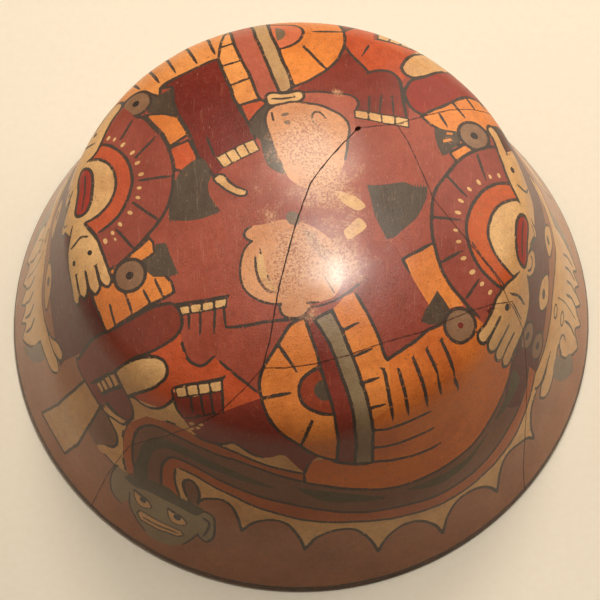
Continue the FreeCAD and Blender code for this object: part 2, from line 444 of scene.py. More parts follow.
def serpent_head(put):
    """A horned head with a bared mouth, in grey-green."""
    left_ear = walls((-133.8, 138.5), (-131.8, 139.6), (-130, 146), (-129.6, 154), (-131.2, 158.6),
            (-133.6, 156.6), (-134.9, 150.4), (-134.7, 144.6))
    fill("slate", put(bend(*left_ear, closed=True)))
    line(put(wall_bend((-133.6, 138.2), (-134.8, 144.6), (-135, 150.6), (-133.7, 157), (-131.2, 159.2))),
            0.8)
    right_ear = wall_bend((-113, 139), (-110.4, 140.2), (-109.8, 146), (-110, 152), (-111.2, 155.4),
            (-113, 153.6), (-114, 149), (-114, 143), closed=True)
    area("slate", put(right_ear), edge=1.0)
    line(put(wall_bend((-112.6, 142.6), (-111.2, 144), (-111.4, 149.5), (-112, 152.6))), 1.1)
    face = wall_bend((-131, 143), (-130, 150), (-129.2, 156), (-127, 161), (-124.6, 165), (-121.6, 166.8),
            (-118.6, 165.4), (-116.2, 161.6), (-114.6, 157.4), (-113.2, 152), (-112.8, 143), (-114.6, 138),
            (-122, 137.4), closed=True)
    fill("slate", put(face))
    line(put(wall_bend((-129.8, 150), (-129, 156.4), (-126.8, 161.4), (-124.2, 165.2))), 0.8)
    line(put(wall_bend((-116, 161.6), (-114.4, 157), (-113.2, 152.4))), 0.8)
    hair = wall_bend((-131.8, 143.6), (-130, 139.4), (-127.4, 136.6), (-124.4, 134.6), (-121, 134.2),
            (-118, 136.6), (-115, 136.4), (-112.6, 138.4), (-113.4, 141.4), (-119, 141.6), (-125.6, 142.4),
            (-129.6, 144.8), closed=True)
    fill("olive", put(hair))
    for azimuth, reach in ((-126.3, 149.3), (-118, 148.2)):
        almond = wall_bend((azimuth - 2.5, reach - 2.2), (azimuth - 2.1, reach + 1.2), (azimuth - 0.9, reach
                + 3.6), (azimuth + 0.6, reach + 3.4), (azimuth + 2.1, reach + 1), (azimuth + 1.4,
                reach - 0.8), (azimuth, reach - 1.6), (azimuth - 1.4, reach - 1.8), closed=True)
        area("cream", put(almond), edge=0.5)
        dot("line", *put([wall(azimuth - 0.1, reach - 0.3)]), 1.5)
        line(put(wall_bend((azimuth - 2.6, reach - 2.8), (azimuth - 1, reach - 2.6), (azimuth + 0.7,
                reach - 2), (azimuth + 2.2, reach + 0.4))), 0.9)
    mouth = walls((-126.4, 155.4), (-122, 155.4), (-116.9, 154.6), (-116, 156.4), (-117.4, 158.4),
            (-121.6, 160.2), (-125.8, 160.4), (-126.9, 158))
    area("cream", put(mouth), edge=0.7)
    line(put(walls((-125.4, 158.3), (-121.6, 157.9), (-117.4, 156.6))), 0.8)


FRONT_SHIN = ((-100, -49.4), (-87.8, -45.8), (-76.7, -43.6), (-67.8, -42.2), (-60, -39.8), (-50, -36.5),
        (-44.5, -36.6), (-42, -40), (-42.2, -45.6), (-44.4, -48.5), (-51.7, -51.7), (-60, -53.8),
        (-73.6, -58))
BACK_SHIN = ((-100, -49.4), (-87.8, -47.4), (-76.7, -47.6), (-65.3, -46.6), (-55.8, -39.9), (-50.1, -36.3),
        (-46.6, -33.9), (-44.2, -34.8), (-42, -37.3), (-41.2, -40.2), (-40.6, -43.4), (-41.6, -46.6),
        (-43.2, -49.6), (-47.6, -52), (-55.6, -57.5), (-61.1, -61.4), (-72.4, -68))


def wall_foot(put, slip, shin):
    """The leg, its toes, the pale strip beside it and the brown lobe, left of the serpent's arch."""
    strip = walls((-149.5, 116.4), (-142.9, 119.4), (-144.4, 138), (-145.4, 152), (-147.6, 164),
            (-157.6, 164.4), (-154.6, 148), (-152, 131))
    fill("umber", put(walls((-143, 119), (-152, 103), (-158, 125), (-160, 165), (-146, 165))))
    area("sand", put(strip), edge=1.2)
    leg = ([(-103, -49)] + bend(*shin) + bend(shin[-1], (-73, shin[-1][1] / 2 - 35), (-72, -70),
            (-72.2, -74.5), (-75, -79), (-79.6, -81)) + bend((-79.6, -81), (-85, -76.3), (-89.4, -71.2),
            (-93, -72.6), (-96.6, -70.3)) + [(-98.2, -66.5), (-101, -59.2), (-104, -54)])
    area(slip, put(leg), edge=1.2)
    line(put([(-96.4, -61.4), (-74.2, -58.4)]), 1.1)
    line(put([(-90.8, -67.2), (-82, -65.8), (-72.6, -64.4)]), 1.3)
    for corners in ([(-78.8, -59.4), (-75, -58.9), (-74.6, -63.6), (-78.2, -64.8)], [(-84, -60.4),
            (-79.8, -59.7), (-79.2, -64.6), (-82.8, -65.6)], [(-88, -61.4), (-85.2, -60.8), (-84, -65.6),
            (-87.2, -66.2)], [(-92.2, -61.8), (-89, -61.4), (-88.2, -65.9), (-90.6, -66.6)]):
        area("cream", put(corners), edge=0.6)
    sliver = bend((-94, -72.8), (-91, -71.8), (-86.5, -76), (-80.2, -80.8), (-83, -81.8), (-88, -79),
            closed=True)
    area("cream", put(sliver), edge=1.1)


def side_face(put):
    """The wall face on each side: wine ground, beads, almond eyes and two long pale hands by the rim."""
    ground = walls((-36, 104), (-32, 110), (-36, 118), (-33, 133), (-20, 135), (0, 133), (18, 138),
            (26, 130), (31, 112), (31, 90), (22, 80), (10, 72), (-30, 72))
    fill("wine", put(ground))
    fill("umber", put(walls((-34, 133), (-26, 131), (24, 134), (24, 165), (-36, 165), (-35, 150))))
    for azimuth, reach in ((-24.7, 111.6), (-23.2, 123.6)):
        dot("taupe", *put([wall(azimuth, reach)]), 5.3, edge=1.1)
        dot("line", *put([wall(azimuth, reach)]), 1.6)
    fill("olive", put(wall_bend((-33.4, 116.5), (-30.8, 118), (-30, 122.5), (-32.6, 125), (-35, 121),
            closed=True)))
    eye = wall_bend((-16.6, 115.6), (-15.8, 112.2), (-13.8, 110.2), (-11.4, 110.2), (-9.2, 112.6),
            (-6.8, 118.8), (-9.2, 121.2), (-12.2, 122.2), (-14.6, 120.6), closed=True)
    area("cream", put(eye), edge=0.9)
    dot("soot", *put([wall(-12.4, 115.8)]), 2.0)
    eye = wall_bend((-1.6, 120.4), (-0.4, 117.2), (1.8, 116), (4.4, 117.6), (6.8, 122.2), (8, 128.8),
            (4.4, 128.6), (1, 125.6), closed=True)
    area("cream", put(eye), edge=0.9)
    dot("soot", *put([wall(2.8, 121.6)]), 2.0)
    body = wall_bend((-22, 130.9), (-18.9, 130.2), (-14.4, 128.8), (-10, 127), (-6, 127), (-2, 129),
            (3, 132.6), (9, 133))
    right = wall_bend((9, 133), (14, 130), (18, 124.6), (20.6, 124.2), (21, 127.6), (18.6, 131),
            (17, 132)) + wall_bend((17, 132), (20, 131.4), (21.8, 134), (20.6, 138.4), (16, 141.4),
            (11.5, 143))
    locks = wall_bend((11.5, 143), (10.5, 151), (7.5, 160), (5.2, 163.5), (3.6, 158), (2, 163.6),
            (-0.4, 158), (-2.4, 164), (-4.6, 158.5), (-7, 164.2), (-9.4, 158.5), (-12, 164),
            (-14.4, 160.4))
    curl = wall_bend((-14.4, 160.4), (-17, 154), (-18, 148), (-16.6, 144), (-18.4, 143.4))
    low_finger = wall_bend((-18.4, 143.4), (-21.6, 146), (-25.2, 148.2), (-28, 148), (-29.4, 144.4),
            (-28, 141), (-25, 139.8), (-23.4, 138.4))
    top_finger = wall_bend((-23.4, 138.4), (-26, 139), (-28.8, 138.8), (-30.2, 135.4), (-29.4, 132.2),
            (-26, 131.2), (-22, 130.9))
    area("cream", put(body + right[1:] + locks[1:] + curl[1:] + low_finger[1:] + top_finger[1:-1]),
            edge=1.1)
    line(put(walls((-23.4, 138.4), (-20, 137.2))), 1.0)
    line(put(walls((17, 132), (10, 132.4))), 1.0)
    grey_left = wall_bend((-23.4, 147.8), (-18.6, 144.8), (-18.4, 150), (-15, 158), (-16.8, 163.6),
            (-20, 160), (-22.4, 154), closed=True)
    fill("smoke", put(grey_left))
    grey_right = wall_bend((11.8, 144), (15.6, 143), (14, 152), (10.6, 160), (7.4, 163), (9.4, 156),
            closed=True)
    fill("smoke", put(grey_right))
    for azimuth, reach in ((-11.6, 133.2), (-11, 142)):
        line(put(oval(wall(azimuth, reach), 1.9, 2.7, turn=azimuth)), 0.9, closed=True)
    line(put(wall_bend((-17.4, 148.4), (-16.8, 145), (-15, 144), (-13.6, 147), (-14.2, 150))), 0.9)
    line(put(wall_bend((-8, 134), (-6.6, 146), (-7, 158))), 0.6)
    for azimuth in (-10.6, -4.4, -1.2, 2, 5.2):
        line(put(wall_bend((azimuth, 146), (azimuth + 0.7, 152), (azimuth, 158.6))), 1.2)


def lobes(put):
    """The two small lobes beside each bared mouth."""
    first = wall_bend((-15.6, 92.4), (-13.8, 96.8), (-11.6, 99.4), (-9.2, 99.6), (-7.4, 97), (-7.6, 93.4),
            (-10, 90))
    second = wall_bend((-10, 90), (-6.4, 93), (-4, 96.8), (-2.2, 100.2), (-0.6, 98.6), (0, 94), (1.6, 90.4))
    fill("cream", put(walls((-15.6, 92.4), (-20, 84))[::-1] + first[1:] + second[1:] + [wall(4, 82)]))
    line(put([wall(-15.6, 92.4)] + first[1:]), 1.2)
    line(put(second), 1.2)
    line(put(wall_bend((-13.8, 92.2), (-12.6, 94.8), (-11, 95.6), (-9.8, 94.4), (-9.8, 92.4))), 1.1)
    line(put(wall_bend((-7.4, 90.6), (-4.8, 93.6), (-3, 97), (-1.8, 95), (-1.4, 91.8))), 1.0)


def mouth(put):
    """A bared mouth, in the left figure's place on the chart."""
    bar = bend((-80.2, 23.4), (-77.6, 23), (-75.2, 20.6), (-74.2, 16.4), (-74.3, 11), (-75, 6.6),
            (-77, 3.6), (-80, 3), (-82.2, 4.8), (-82, 8.4), (-81.4, 14), (-81.6, 20.4), closed=True)
    area("scarlet", put(bar), edge=1.4)
    line(put(bend((-77.8, 19.8), (-77.6, 13.9), (-78, 8.9), (-78.8, 5.4))), 0.9)


def bead(centre, slip="line", pupil=1.5):
    dot("taupe", centre, 5.9, edge=1.3)
    dot(slip, centre, pupil)


def left_figure():
    """The left figure: a face in rings of cream, flame and maroon between two hands."""
    outer = bend((-57.8, 40.4), (-54.4, 38.3), (-51.1, 33.9), (-46.7, 27.2), (-44, 20), (-43.1, 13.9),
            (-43.3, 8.9), (-45.8, -1.1), (-48.3, -5.3), (-53.9, -11.7), (-61.1, -17.5), (-65.6, -20.6))
    # The outer ring is maroon painted lighter where light from the upper left falls: partly painted light
    fill("garnet_with_painted_light", outer + [(-72, -12), (-76, -2), (-78, 28), (-66, 50)])
    line(outer, 1.3)
    centre = (-78, 12.8)
    fill("flame", arc(centre, 19.7, 100, -82) + arc(centre, 12.4, -88, 88))
    line(arc(centre, 19.6, 72, -71), 1.3)
    fill("cream", arc(centre, 13.3, 95, -90) + [(-84, 0.6), (-87.4, 4), (-90, 9), (-91, 24), (-84, 26.5)])
    line(arc(centre, 13.3, 88, -87), 1.2)
    lobes(lambda points: [(-x + 3.0, -y + 0.8) for x, y in points])
    mouth(list)
    strokes(1.1, [(-63.1, 31.4), (-58.9, 38.9)], [(-56.4, 22.3), (-50, 28.9)], [(-55.3, 11.7),
            (-44.4, 11.1)], [(-57.8, 2.8), (-48.3, -5.6)], [(-64.7, -6.4), (-58.1, -14.7)])
    for x, y, size in ((-68.3, 33.1, 0.9), (-65.7, 31.7, 0.8), (-62.1, 28.3, 1), (-58.4, 24, 1),
            (-56.4, 19.2, 1), (-54.9, 14.1, 1), (-55.7, 8.6, 0.9), (-56.2, 4.7, 0.9), (-59.3, -0.6, 1),
            (-63.3, -4.4, 1), (-66.1, -7.2, 0.9), (-68.9, -9.7, 1.1), (-65.2, -9.8, 0.6)):
        turn = math.degrees(math.atan2(y - 12.8, x + 78))
        dot("cream", (x, y), size * 1.1, size * 0.72, turn=turn)
    hand = (bend((-77.6, -0.9), (-75.6, -2.8), (-73.3, -5.4), (-71.8, -8.6), (-69.8, -15), (-67.8, -21.1),
            (-66.9, -25), (-68.4, -26.9), (-70.8, -25.4), (-73.1, -18.4)) + bend((-73.1, -18.4),
            (-72.2, -22.4), (-72, -27), (-73.8, -28.6), (-76, -27), (-78, -19.4))[1:] + bend((-78, -19.4),
            (-77.9, -26.6), (-80, -29), (-82.2, -27.4), (-83.5, -19.4))[1:] + bend((-83.5, -19.4),
            (-83.3, -27.2), (-85.2, -29.7), (-88, -29), (-88.2, -22), (-88.6, -15), (-88.1, -9.4),
            (-86.1, -3.9), (-84, 0.6))[1:])
    fill("cream", hand + [(-81, 2)])
    line(hand, 1.25)
    line([(-71.8, -8.6), (-74, -5.2), (-77.6, -0.9)], 1.2)
    dot("line", (-75.3, -12.6), 1.05)
    dot("line", (-83.9, -14.3), 1.05)
    line(bend((-84.9, -8), (-82.4, -7.2), (-80, -5.8), (-77.8, -5.7), (-75.8, -6.3)), 1.0)
    arm = bend((-77.6, 26.4), (-75.4, 26.9), (-73.2, 28.4), (-71.6, 31.9), (-68.9, 39.4), (-66.7, 43.9),
            (-64.3, 48), (-64.8, 50.8), (-67.8, 53), (-70.6, 52.4), (-74, 47.4))
    fill("cream", arm + [(-76.8, 52.6), (-80, 50), (-84, 45), (-94, 40), (-97, 26), (-86, 20)])
    line(arm, 1.25)
    line([(-74, 47.4), (-77.6, 41)], 1.1)
    line(bend((-74, 47.4), (-76.2, 52.4), (-79.2, 53.4), (-81.4, 50.8), (-82, 46)), 1.2)
    line(bend((-82, 46), (-85, 47.6), (-88, 46), (-89.4, 41)), 1.2)
    dot("line", (-76.1, 39.4), 1.1)
    line(bend((-83.2, 37.7), (-79.4, 35), (-75.3, 34.2)), 1.2)


def right_figure():
    """The right figure, the other way up."""
    outer = bend((73.4, 24.4), (70.3, 23.3), (64.4, 20.3), (57.8, 14.7), (52.8, 8.3), (49.6, 3.5),
            (47.6, -3), (46.8, -11.1), (47.2, -17.2), (48.3, -22.2), (50.3, -28.3), (53.6, -33.8),
            (58.3, -38.9), (63.8, -43.6))
    # The outer ring is maroon painted lighter where the lamps' light falls: partly painted light
    fill("garnet_with_painted_light", outer + [(70, -38), (76, -26), (82, 0), (78, 22)])
    line(outer, 1.3)
    ring = bend((80, 9.6), (76.7, 9.2), (71.7, 7.6), (67.8, 5), (64.4, 1.1), (61.4, -3.9), (59.8, -9.4),
            (59.6, -14), (60.6, -18.9), (63.3, -24.4), (67.2, -28.6), (72.2, -31.8), (76, -32))
    fill("copper", ring + [(84, -28), (84, 2)])
    line(ring, 1.3)
    pale = bend((83, 3.8), (81.2, 3.6), (77.6, 2.2), (74.2, 0.4), (70.9, -2.8), (68.7, -7.8), (68, -12.6),
            (69.2, -17.2), (71.7, -21.7), (75, -24.7), (78.9, -27))
    fill("cream", pale + [(86, -27), (92, -22), (93, -6), (92, 4)])
    line(pale, 1.2)
    lobes(list)
    mouth(lambda points: [(-x + 5.6 + (y - 12) * -0.02, -y + 1.6) for x, y in points])
    dot("rust", (65.2, -5.3), 1.3, 0.5, turn=-10)
    for t in range(9):
        share = t / 8
        x, y = 61.4 + 10.4 * share + 1.2 * share * share, -16.6 - 13.4 * share
        line([(x, y), (x + 0.8, y - 1.1)], 0.7)
    strokes(1.1, [(65.8, 19.4), (68.4, 9.2)], [(53.9, 8), (60.6, 1.1)], [(47.4, -8.2), (56.9, -8.6)],
            [(49.4, -25), (57.2, -20.4)], [(58.7, -36.9), (63.6, -30)])
    for x, y, size in ((73.9, 11.7, 0.9), (70.3, 10.4, 0.8), (65.6, 7.5, 1), (61.7, 4.2, 0.9), (58.2, -0.8,
            1), (56.8, -5.7, 1), (55.6, -12.5, 0.8), (56.4, -16.8, 0.9), (58.1, -22.9, 1), (61.3, -27.5,
            1.1), (64.7, -31.4, 0.9), (67.9, -34.1, 1)):
        turn = math.degrees(math.atan2(y + 12, x - 82))
        dot("cream", (x, y), size * 1.15, size * 0.72, turn=turn)
    fingers = (bend((72.6, -33), (70.9, -35.4), (68.9, -41), (66.5, -45.4), (63.4, -50.2), (64.6, -52.3),
            (67, -52.8), (69.4, -49.8), (73.1, -42.8)) + bend((73.1, -42.8), (70.4, -48.6), (69.2, -53.2),
            (71.6, -55.8), (74.6, -55.4), (77, -51.4), (80.3, -44.7))[1:] + bend((80.3, -44.7),
            (77.4, -51.6), (76, -56.6), (78.8, -59.3), (82, -59.2), (84, -55.2), (87.5, -47.2))[1:]
            + bend((87.5, -47.2), (84.6, -53.6), (83.6, -59), (86.2, -61.8), (89.2, -61.2), (91.6, -55.8),
            (94.2, -48.6), (96.9, -39.1), (95.7, -31.6), (92, -26.4), (88.6, -24))[1:])
    fill("cream", fingers + [(80, -26)])
    line(fingers, 1.3)
    line(bend((72.6, -33), (75.2, -30), (78.9, -27), (82, -24.4)), 1.2)
    line(bend((78.4, -33.1), (82, -33), (86.4, -33.8), (91.2, -35.2)), 1.1)
    line(bend((79.6, -36.4), (84, -38.6), (90.6, -41.2)), 0.7)
    dot("line", (76.5, -38.4), 1.4)
    arm = bend((82.8, 3), (80, 7.6), (77.2, 13.6), (75.2, 20), (73.2, 28), (71.4, 32.4), (73, 34.6),
            (75.6, 33.6), (77.4, 30), (79.2, 24))
    fill("cream", arm + [(84, 28), (92, 22), (100, 12), (98, 0), (88, 1)])
    line(arm, 1.25)
    line(bend((76.8, 33.6), (79.6, 35.8), (82.4, 34.4), (83.4, 29)), 1.2)
    line(bend((83.4, 31), (87, 31.6), (89, 28), (89.8, 23)), 1.2)
    dot("line", (81.1, 16.8), 1.25)
    line(bend((83.2, 10.8), (88.2, 10.6), (92, 12.8), (95.4, 16)), 1.1)


def feathers(slip, outline, teeth):
    """A dark fan with the furry edge that a dry brush leaves along part of it."""
    fill(slip, outline)
    for first, last, lean in teeth:
        first, last = np.array(first, float), np.array(last, float)
        run = last - first
        count = max(2, int(np.hypot(*run) / 0.9))
        aside = np.array([-run[1], run[0]]) / np.hypot(*run) * lean
        for step in range(count):
            share = (step + 0.5) / count
            stray = noise.noise(Vector((first[0] + step * 1.7, first[1], 5.5)))
            root = first + run * share
            tip = root + aside * (1.0 + 0.7 * stray) + run / count * 0.4 * stray
            wide = run / count * 0.42
            fill(slip, [tuple(root - wide - aside * 0.4), tuple(tip), tuple(root + wide - aside * 0.4)])


def left_side():
    """Flaps, beads and patches between the left figure and the crown."""
    fill("wine", [(-75.3, -29.7), (-73.3, -36.1), (-70.4, -44.4), (-80, -46), (-94, -48.5), (-112, -52),
            (-112, -20), (-92, -14)])
    skirt = [(-76, -27.4), (-75.2, -30.4), (-73.3, -36.1), (-71.4, -43.2), (-68.9, -42.3), (-60, -38.9),
            (-52.8, -35.8), (-47.8, -34.2), (-43.9, -32.5), (-44.6, -29), (-47.2, -25.6), (-56, -18),
            (-66, -20)]
    area("orange", skirt, edge=1.15)
    strokes(1.1, [(-68.3, -33.3), (-66.7, -41.7)], [(-61.6, -31.2), (-59.8, -38.6)], [(-55, -30.6),
            (-53, -35.8)], [(-50.5, -27), (-47.9, -34)])
    area("orange", [(-60.4, -16.9), (-55.6, -14.2), (-52, -11.6), (-50.7, -13.6), (-50.6, -17.4),
            (-55, -20), (-60, -20)], edge=1.0)
    feathers("soot", [(-55.8, -19.6), (-50.8, -17.6), (-49.8, -14.2), (-46.4, -14.3), (-44.8, -19.4),
            (-42, -26), (-45, -26.9), (-51.1, -26), (-53.3, -24), (-54.8, -21.6)], [])
    bead((-60, -24.2))
    field = ([(-92, 64), (-78, 46), (-64, 50), (-58, 52.6), (-54.6, 51.6), (-51.4, 49.2), (-49.6, 48.2),
            (-48.6, 48.9), (-48.8, 51.8), (-47.2, 53.7), (-40, 56.6), (-30, 61.3), (-26.9, 62.3),
            (-24.8, 83), (-26.6, 103.5), (-18, 104.5), (-10, 104.5), (-1, 103), (1.4, 107.8)]
            + wall_bend((89.4, 113), (100, 119.4), (106.5, 124.1), (115, 126.9), (122.5, 127.6),
            (130, 126.9), (135, 123.7), (140, 119.4), (144, 114.4)))
    area("apricot", field, edge=1.15)
    strokes(1.2, [(-55.4, 67.2), (-49.3, 54.9)], [(-49.4, 73), (-43.2, 58.8)], [(-41.3, 77.5),
            (-34.9, 61.3)], [(-33.2, 82), (-28.2, 65)], [(-62, 62), (-57.5, 54.5)], [(-72, 82), (-62, 70)],
            [(-58, 88), (-50.5, 76)], [(-48, 92), (-42.5, 80)], [(-38, 96), (-34, 86)])
    feathers("soot", [(-53, 48.4), (-48.6, 48.4), (-43.8, 51), (-43.2, 42.8), (-41.6, 37.6), (-46.7, 38.8),
            (-53.2, 40.8), (-53.4, 44)], [])
    bead((-57.9, 46.6))
    area("orange", [(-54.4, 39.9), (-46.7, 39), (-41.7, 36.6), (-40, 32.8), (-37.7, 27.7), (-44.6, 23.6),
            (-46.7, 28.9), (-50.4, 34.4)], edge=1.1)
    area("flame", [(-44.5, 22.9), (-37.4, 25.4), (-34.2, 17), (-38.6, 12), (-43.4, 14)], edge=1.1)
    fan = (bend((-34.6, 17.2), (-32.6, 16.8), (-30.9, 13.9), (-29.7, 9.4), (-30.9, 6.2), (-30.2, 1.8),
            (-28.1, -2.2), (-26.6, -4.6)) + bend((-26.6, -4.6), (-31.7, -6.5), (-36.7, -7), (-42, -6.4),
            (-45.2, -5.6))[1:] + bend((-45.2, -5.6), (-44.8, 2.8), (-42.2, 10), (-39.2, 14.2),
            (-34.6, 17.2))[1:-1])
    feathers("soot", fan, [((-45, -6), (-27.4, -5), -1.0)])


def right_side():
    """Flaps, beads and patches between the right figure and the crown."""
    area("orange", [(46.1, 32.9), (48.9, 29.9), (52, 28), (58.9, 22), (66, 24), (72, 31.4), (73.6, 34),
            (78, 36.6), (90, 40), (78, 62), (67.2, 49.2), (65.6, 46.7), (58.9, 42.2), (52.2, 37.8)],
            edge=1.1)
    strokes(1.1, [(58.2, 41.4), (62.6, 35)], [(52.7, 35.6), (55.2, 29.7)], [(64.7, 45.8), (67.4, 40.4)],
            [(70.5, 50), (73.5, 44)])
    feathers("soot", [(50.3, 29), (54.6, 27.9), (58.5, 28), (59.7, 25.5), (59.8, 23), (57, 20.4),
            (55.6, 18.7), (53.9, 17), (52.3, 16.6), (51, 20.6), (50.4, 24.4)], [])
    for corners in ([(53.4, 22.4), (56.6, 23.6), (56.2, 24.6), (53.2, 23.6)], [(54.6, 26), (57, 26.2),
            (57, 27), (54.8, 26.9)]):
        fill("orange", corners)
    area("orange", [(55.4, 18.1), (61.1, 22.6), (65.4, 20.6), (57.8, 14.6)], edge=1.0)
    bead((65.3, 27.3))
    flap = [(46.9, -18.2), (41, -21.4), (36, -24.4), (38.2, -29.4), (41.1, -34.6), (44.9, -40.4),
            (47.8, -35), (52.4, -41.3), (57.6, -39.9), (53.4, -34), (50.2, -28.3), (48.2, -22.2)]
    fill("orange", flap)
    line([(46.9, -18), (36, -24.2), (38.2, -29.4)], 1.2)
    feathers("soot", [(47.8, -35), (50.2, -38), (52.4, -41.4), (52.6, -44), (50.4, -46.6), (45, -47.4),
            (41.9, -46.2), (43.9, -41.6), (44.9, -40.4)], [])
    bead((56.4, -47.1), "claret", 1.1)
    fan = ([(24.8, 3.4)] + bend((24.8, 3.4), (28.3, 3.4), (33.3, 4.2), (38.3, 4.8), (42.2, 3.1),
            (46.1, 3.6)) + bend((46.1, 3.6), (45.8, 0), (43.9, -4.4), (41.1, -9.4), (36.7, -13.3),
            (33.3, -16.2), (30.6, -17.2)) + bend((30.6, -17.2), (29.4, -13.9), (27, -8.3), (25.8, -1.7),
            (24.8, 3.4))[:-1])
    feathers("soot", fan, [((46, 3.4), (25, 2.6), -1.5)])


def upper_half():
    """Bars, squares and the half-disc above the crown, and the arms that reach in from the right."""
    fill("maroon", bend((2, 44), (14, 56), (22, 62), (27, 56), (34, 54), (40, 46), (40.4, 31.4), (21, 34),
            (4, 41))[:-1])
    left_edge = [(-26.9, 62.3), (-25.8, 57.8), (-23.9, 51.1), (-21.9, 45.6), (-21.1, 41.7)]
    middle_edge = [(-11.9, 40.6), (-12.7, 42.4), (-13.9, 46.7), (-16.1, 53.9), (-18.6, 61.1), (-20.6, 67.8),
            (-22.2, 75.6), (-23.9, 82.8), (-26.6, 103)]
    right_edge = [(-15.3, 84.7), (-14.4, 80), (-12.8, 71.7), (-11.1, 65.6), (-9.2, 58.9), (-7.2, 51.1),
            (-5.3, 44.4)]
    square = [(-48.8, 51.9), (-40, 56.6), (-30, 61.5), *left_edge, (-19.4, 37.8), (-17.8, 33.9),
            (-16.1, 30), (-14.5, 27), (-13.8, 23.3), (-27.8, 16.8), (-25.3, 12.2), (-28.3, 8.9),
            (-29.7, 10.5), (-34.4, 18.3), (-37.2, 27.8), (-41.7, 37.8), (-43.4, 44), (-43.9, 51.2)]
    fill("claret", square)
    line(square[15:] + square[:13], 1.3)
    line([(-31, 25.5), (-28.3, 17.3)], 1.0)
    ladder = [*left_edge, (-19.2, 38), *middle_edge, (-33, 102), (-28.6, 72)]
    fill("apricot", ladder)
    line(ladder[:15], 1.25)
    strokes(1.1, [(-26.9, 68.1), (-20.9, 70)], [(-24.5, 58.3), (-18.7, 59.9)], [(-22, 48), (-15.4, 50.6)],
            [(-28.6, 77.4), (-22.6, 78.6)], [(-30, 88), (-24.4, 89)])
    rose = [*middle_edge, (-18, 104), *right_edge, (-4.4, 41), (-9, 39)]
    area("rose", rose, edge=1.25)
    disc = bend((17.6, 92), (18.9, 82.8), (19.5, 77.8), (20.1, 73), (19.9, 68), (18.9, 63.3), (17.2, 59.4),
            (15, 56.1), (12.2, 52.8), (8.9, 50), (5, 47.2), (0.6, 45))
    area("orange", [(-10, 104), (8, 101)] + disc + [(-1.7, 53.3), (-4.4, 63.9), (-7.5, 74.4), (-8.6, 85)],
            edge=1.2)
    inner = bend((-9.4, 82.6), (-4.4, 81.3), (1.4, 79.8), (3.9, 77.4), (4.8, 74.4), (4.2, 71.2),
            (2.6, 68.4), (-0.4, 66), (-4.4, 64.3))
    fill("salmon", inner + [(-7.5, 74.4)])
    line(inner, 1.2)
    fill("smoke", arc((-6.6, 73.6), 4.8, 80, -72))
    line([(9.2, 74.5), (19.9, 74.8)], 1.2)
    line([(5.1, 64.9), (12.2, 53.8)], 1.3)
    line([(4, 88), (9, 99)], 1.2)
    tan = [*right_edge, (-4.4, 42.6), (-1.7, 43), (0, 44.6), (-0.3, 47.8), (-1.7, 53.3), (-3.3, 58.9),
            (-4.4, 63.9), (-6.1, 68.9), (-7.5, 74.4), (-8.3, 80), (-8.8, 85), (-10, 104), (-18, 104)]
    area("tan", tan, edge=1.3)
    fill("flame", [(19.9, 67), (21.7, 61.7), (24.4, 57.8), (26.7, 54.4), (27.8, 51.9), (30, 53),
            (32.8, 53.7), (36.1, 53.1), (38.1, 51.1), (40.4, 49.4), (41.4, 54), (40.6, 57), (44, 63),
            (48, 69), (52, 73), (42, 79), (26, 84), (20.4, 76)])
    line([(19.7, 66.4), (21.7, 61.7), (24.4, 57.8), (26.7, 54.4), (27.7, 51.8), (30, 52.8)], 1.3)
    line([(28.8, 66.9), (26.4, 61.5)], 0.9)
    area("maroon", [(18.9, 84), (20.2, 75.6), (27, 84), (24, 103), (14, 103)], edge=1.2)
    fill("maroon", [(31, 73), (47, 70), (54, 84), (36, 94)])
    row((32.6, 72.6), (45.6, 70.8), (48.6, 74.6), (34.2, 80), 3, 0.8)
    line([(31.4, 71.9), (36, 71.4), (47, 69.8)], 1.1)
    block = bend((27.3, 52), (30, 53.1), (32.8, 53.6), (36.1, 53.1), (38.1, 51.1), (39.2, 47.8),
            (39.6, 43.3), (40, 34.4), (40.4, 31.4))
    fill("maroon", block + [(31, 33), (21.8, 34.4), (24, 40), (25, 46)])
    line(block, 1.3)
    strokes(0.9, [(27.5, 40.6), (27.1, 34.2)], [(31.9, 41.4), (30.8, 33.3)], [(35.8, 40.4), (35.7, 33)])
    thumb = bend((66, 78), (58, 73.6), (51.9, 70.3), (47.8, 66.6), (43.9, 62.8), (41.4, 58.9), (40.3, 55.6),
            (41.4, 52.8), (43.9, 51.4), (47.8, 52.6), (55.6, 57.5), (61.1, 61.4), (72, 68.4))
    area("cream", thumb, edge=1.3)
    row((21.8, 34.4), (40.9, 31.4), (40.8, 27.4), (21.8, 30.8), 4)


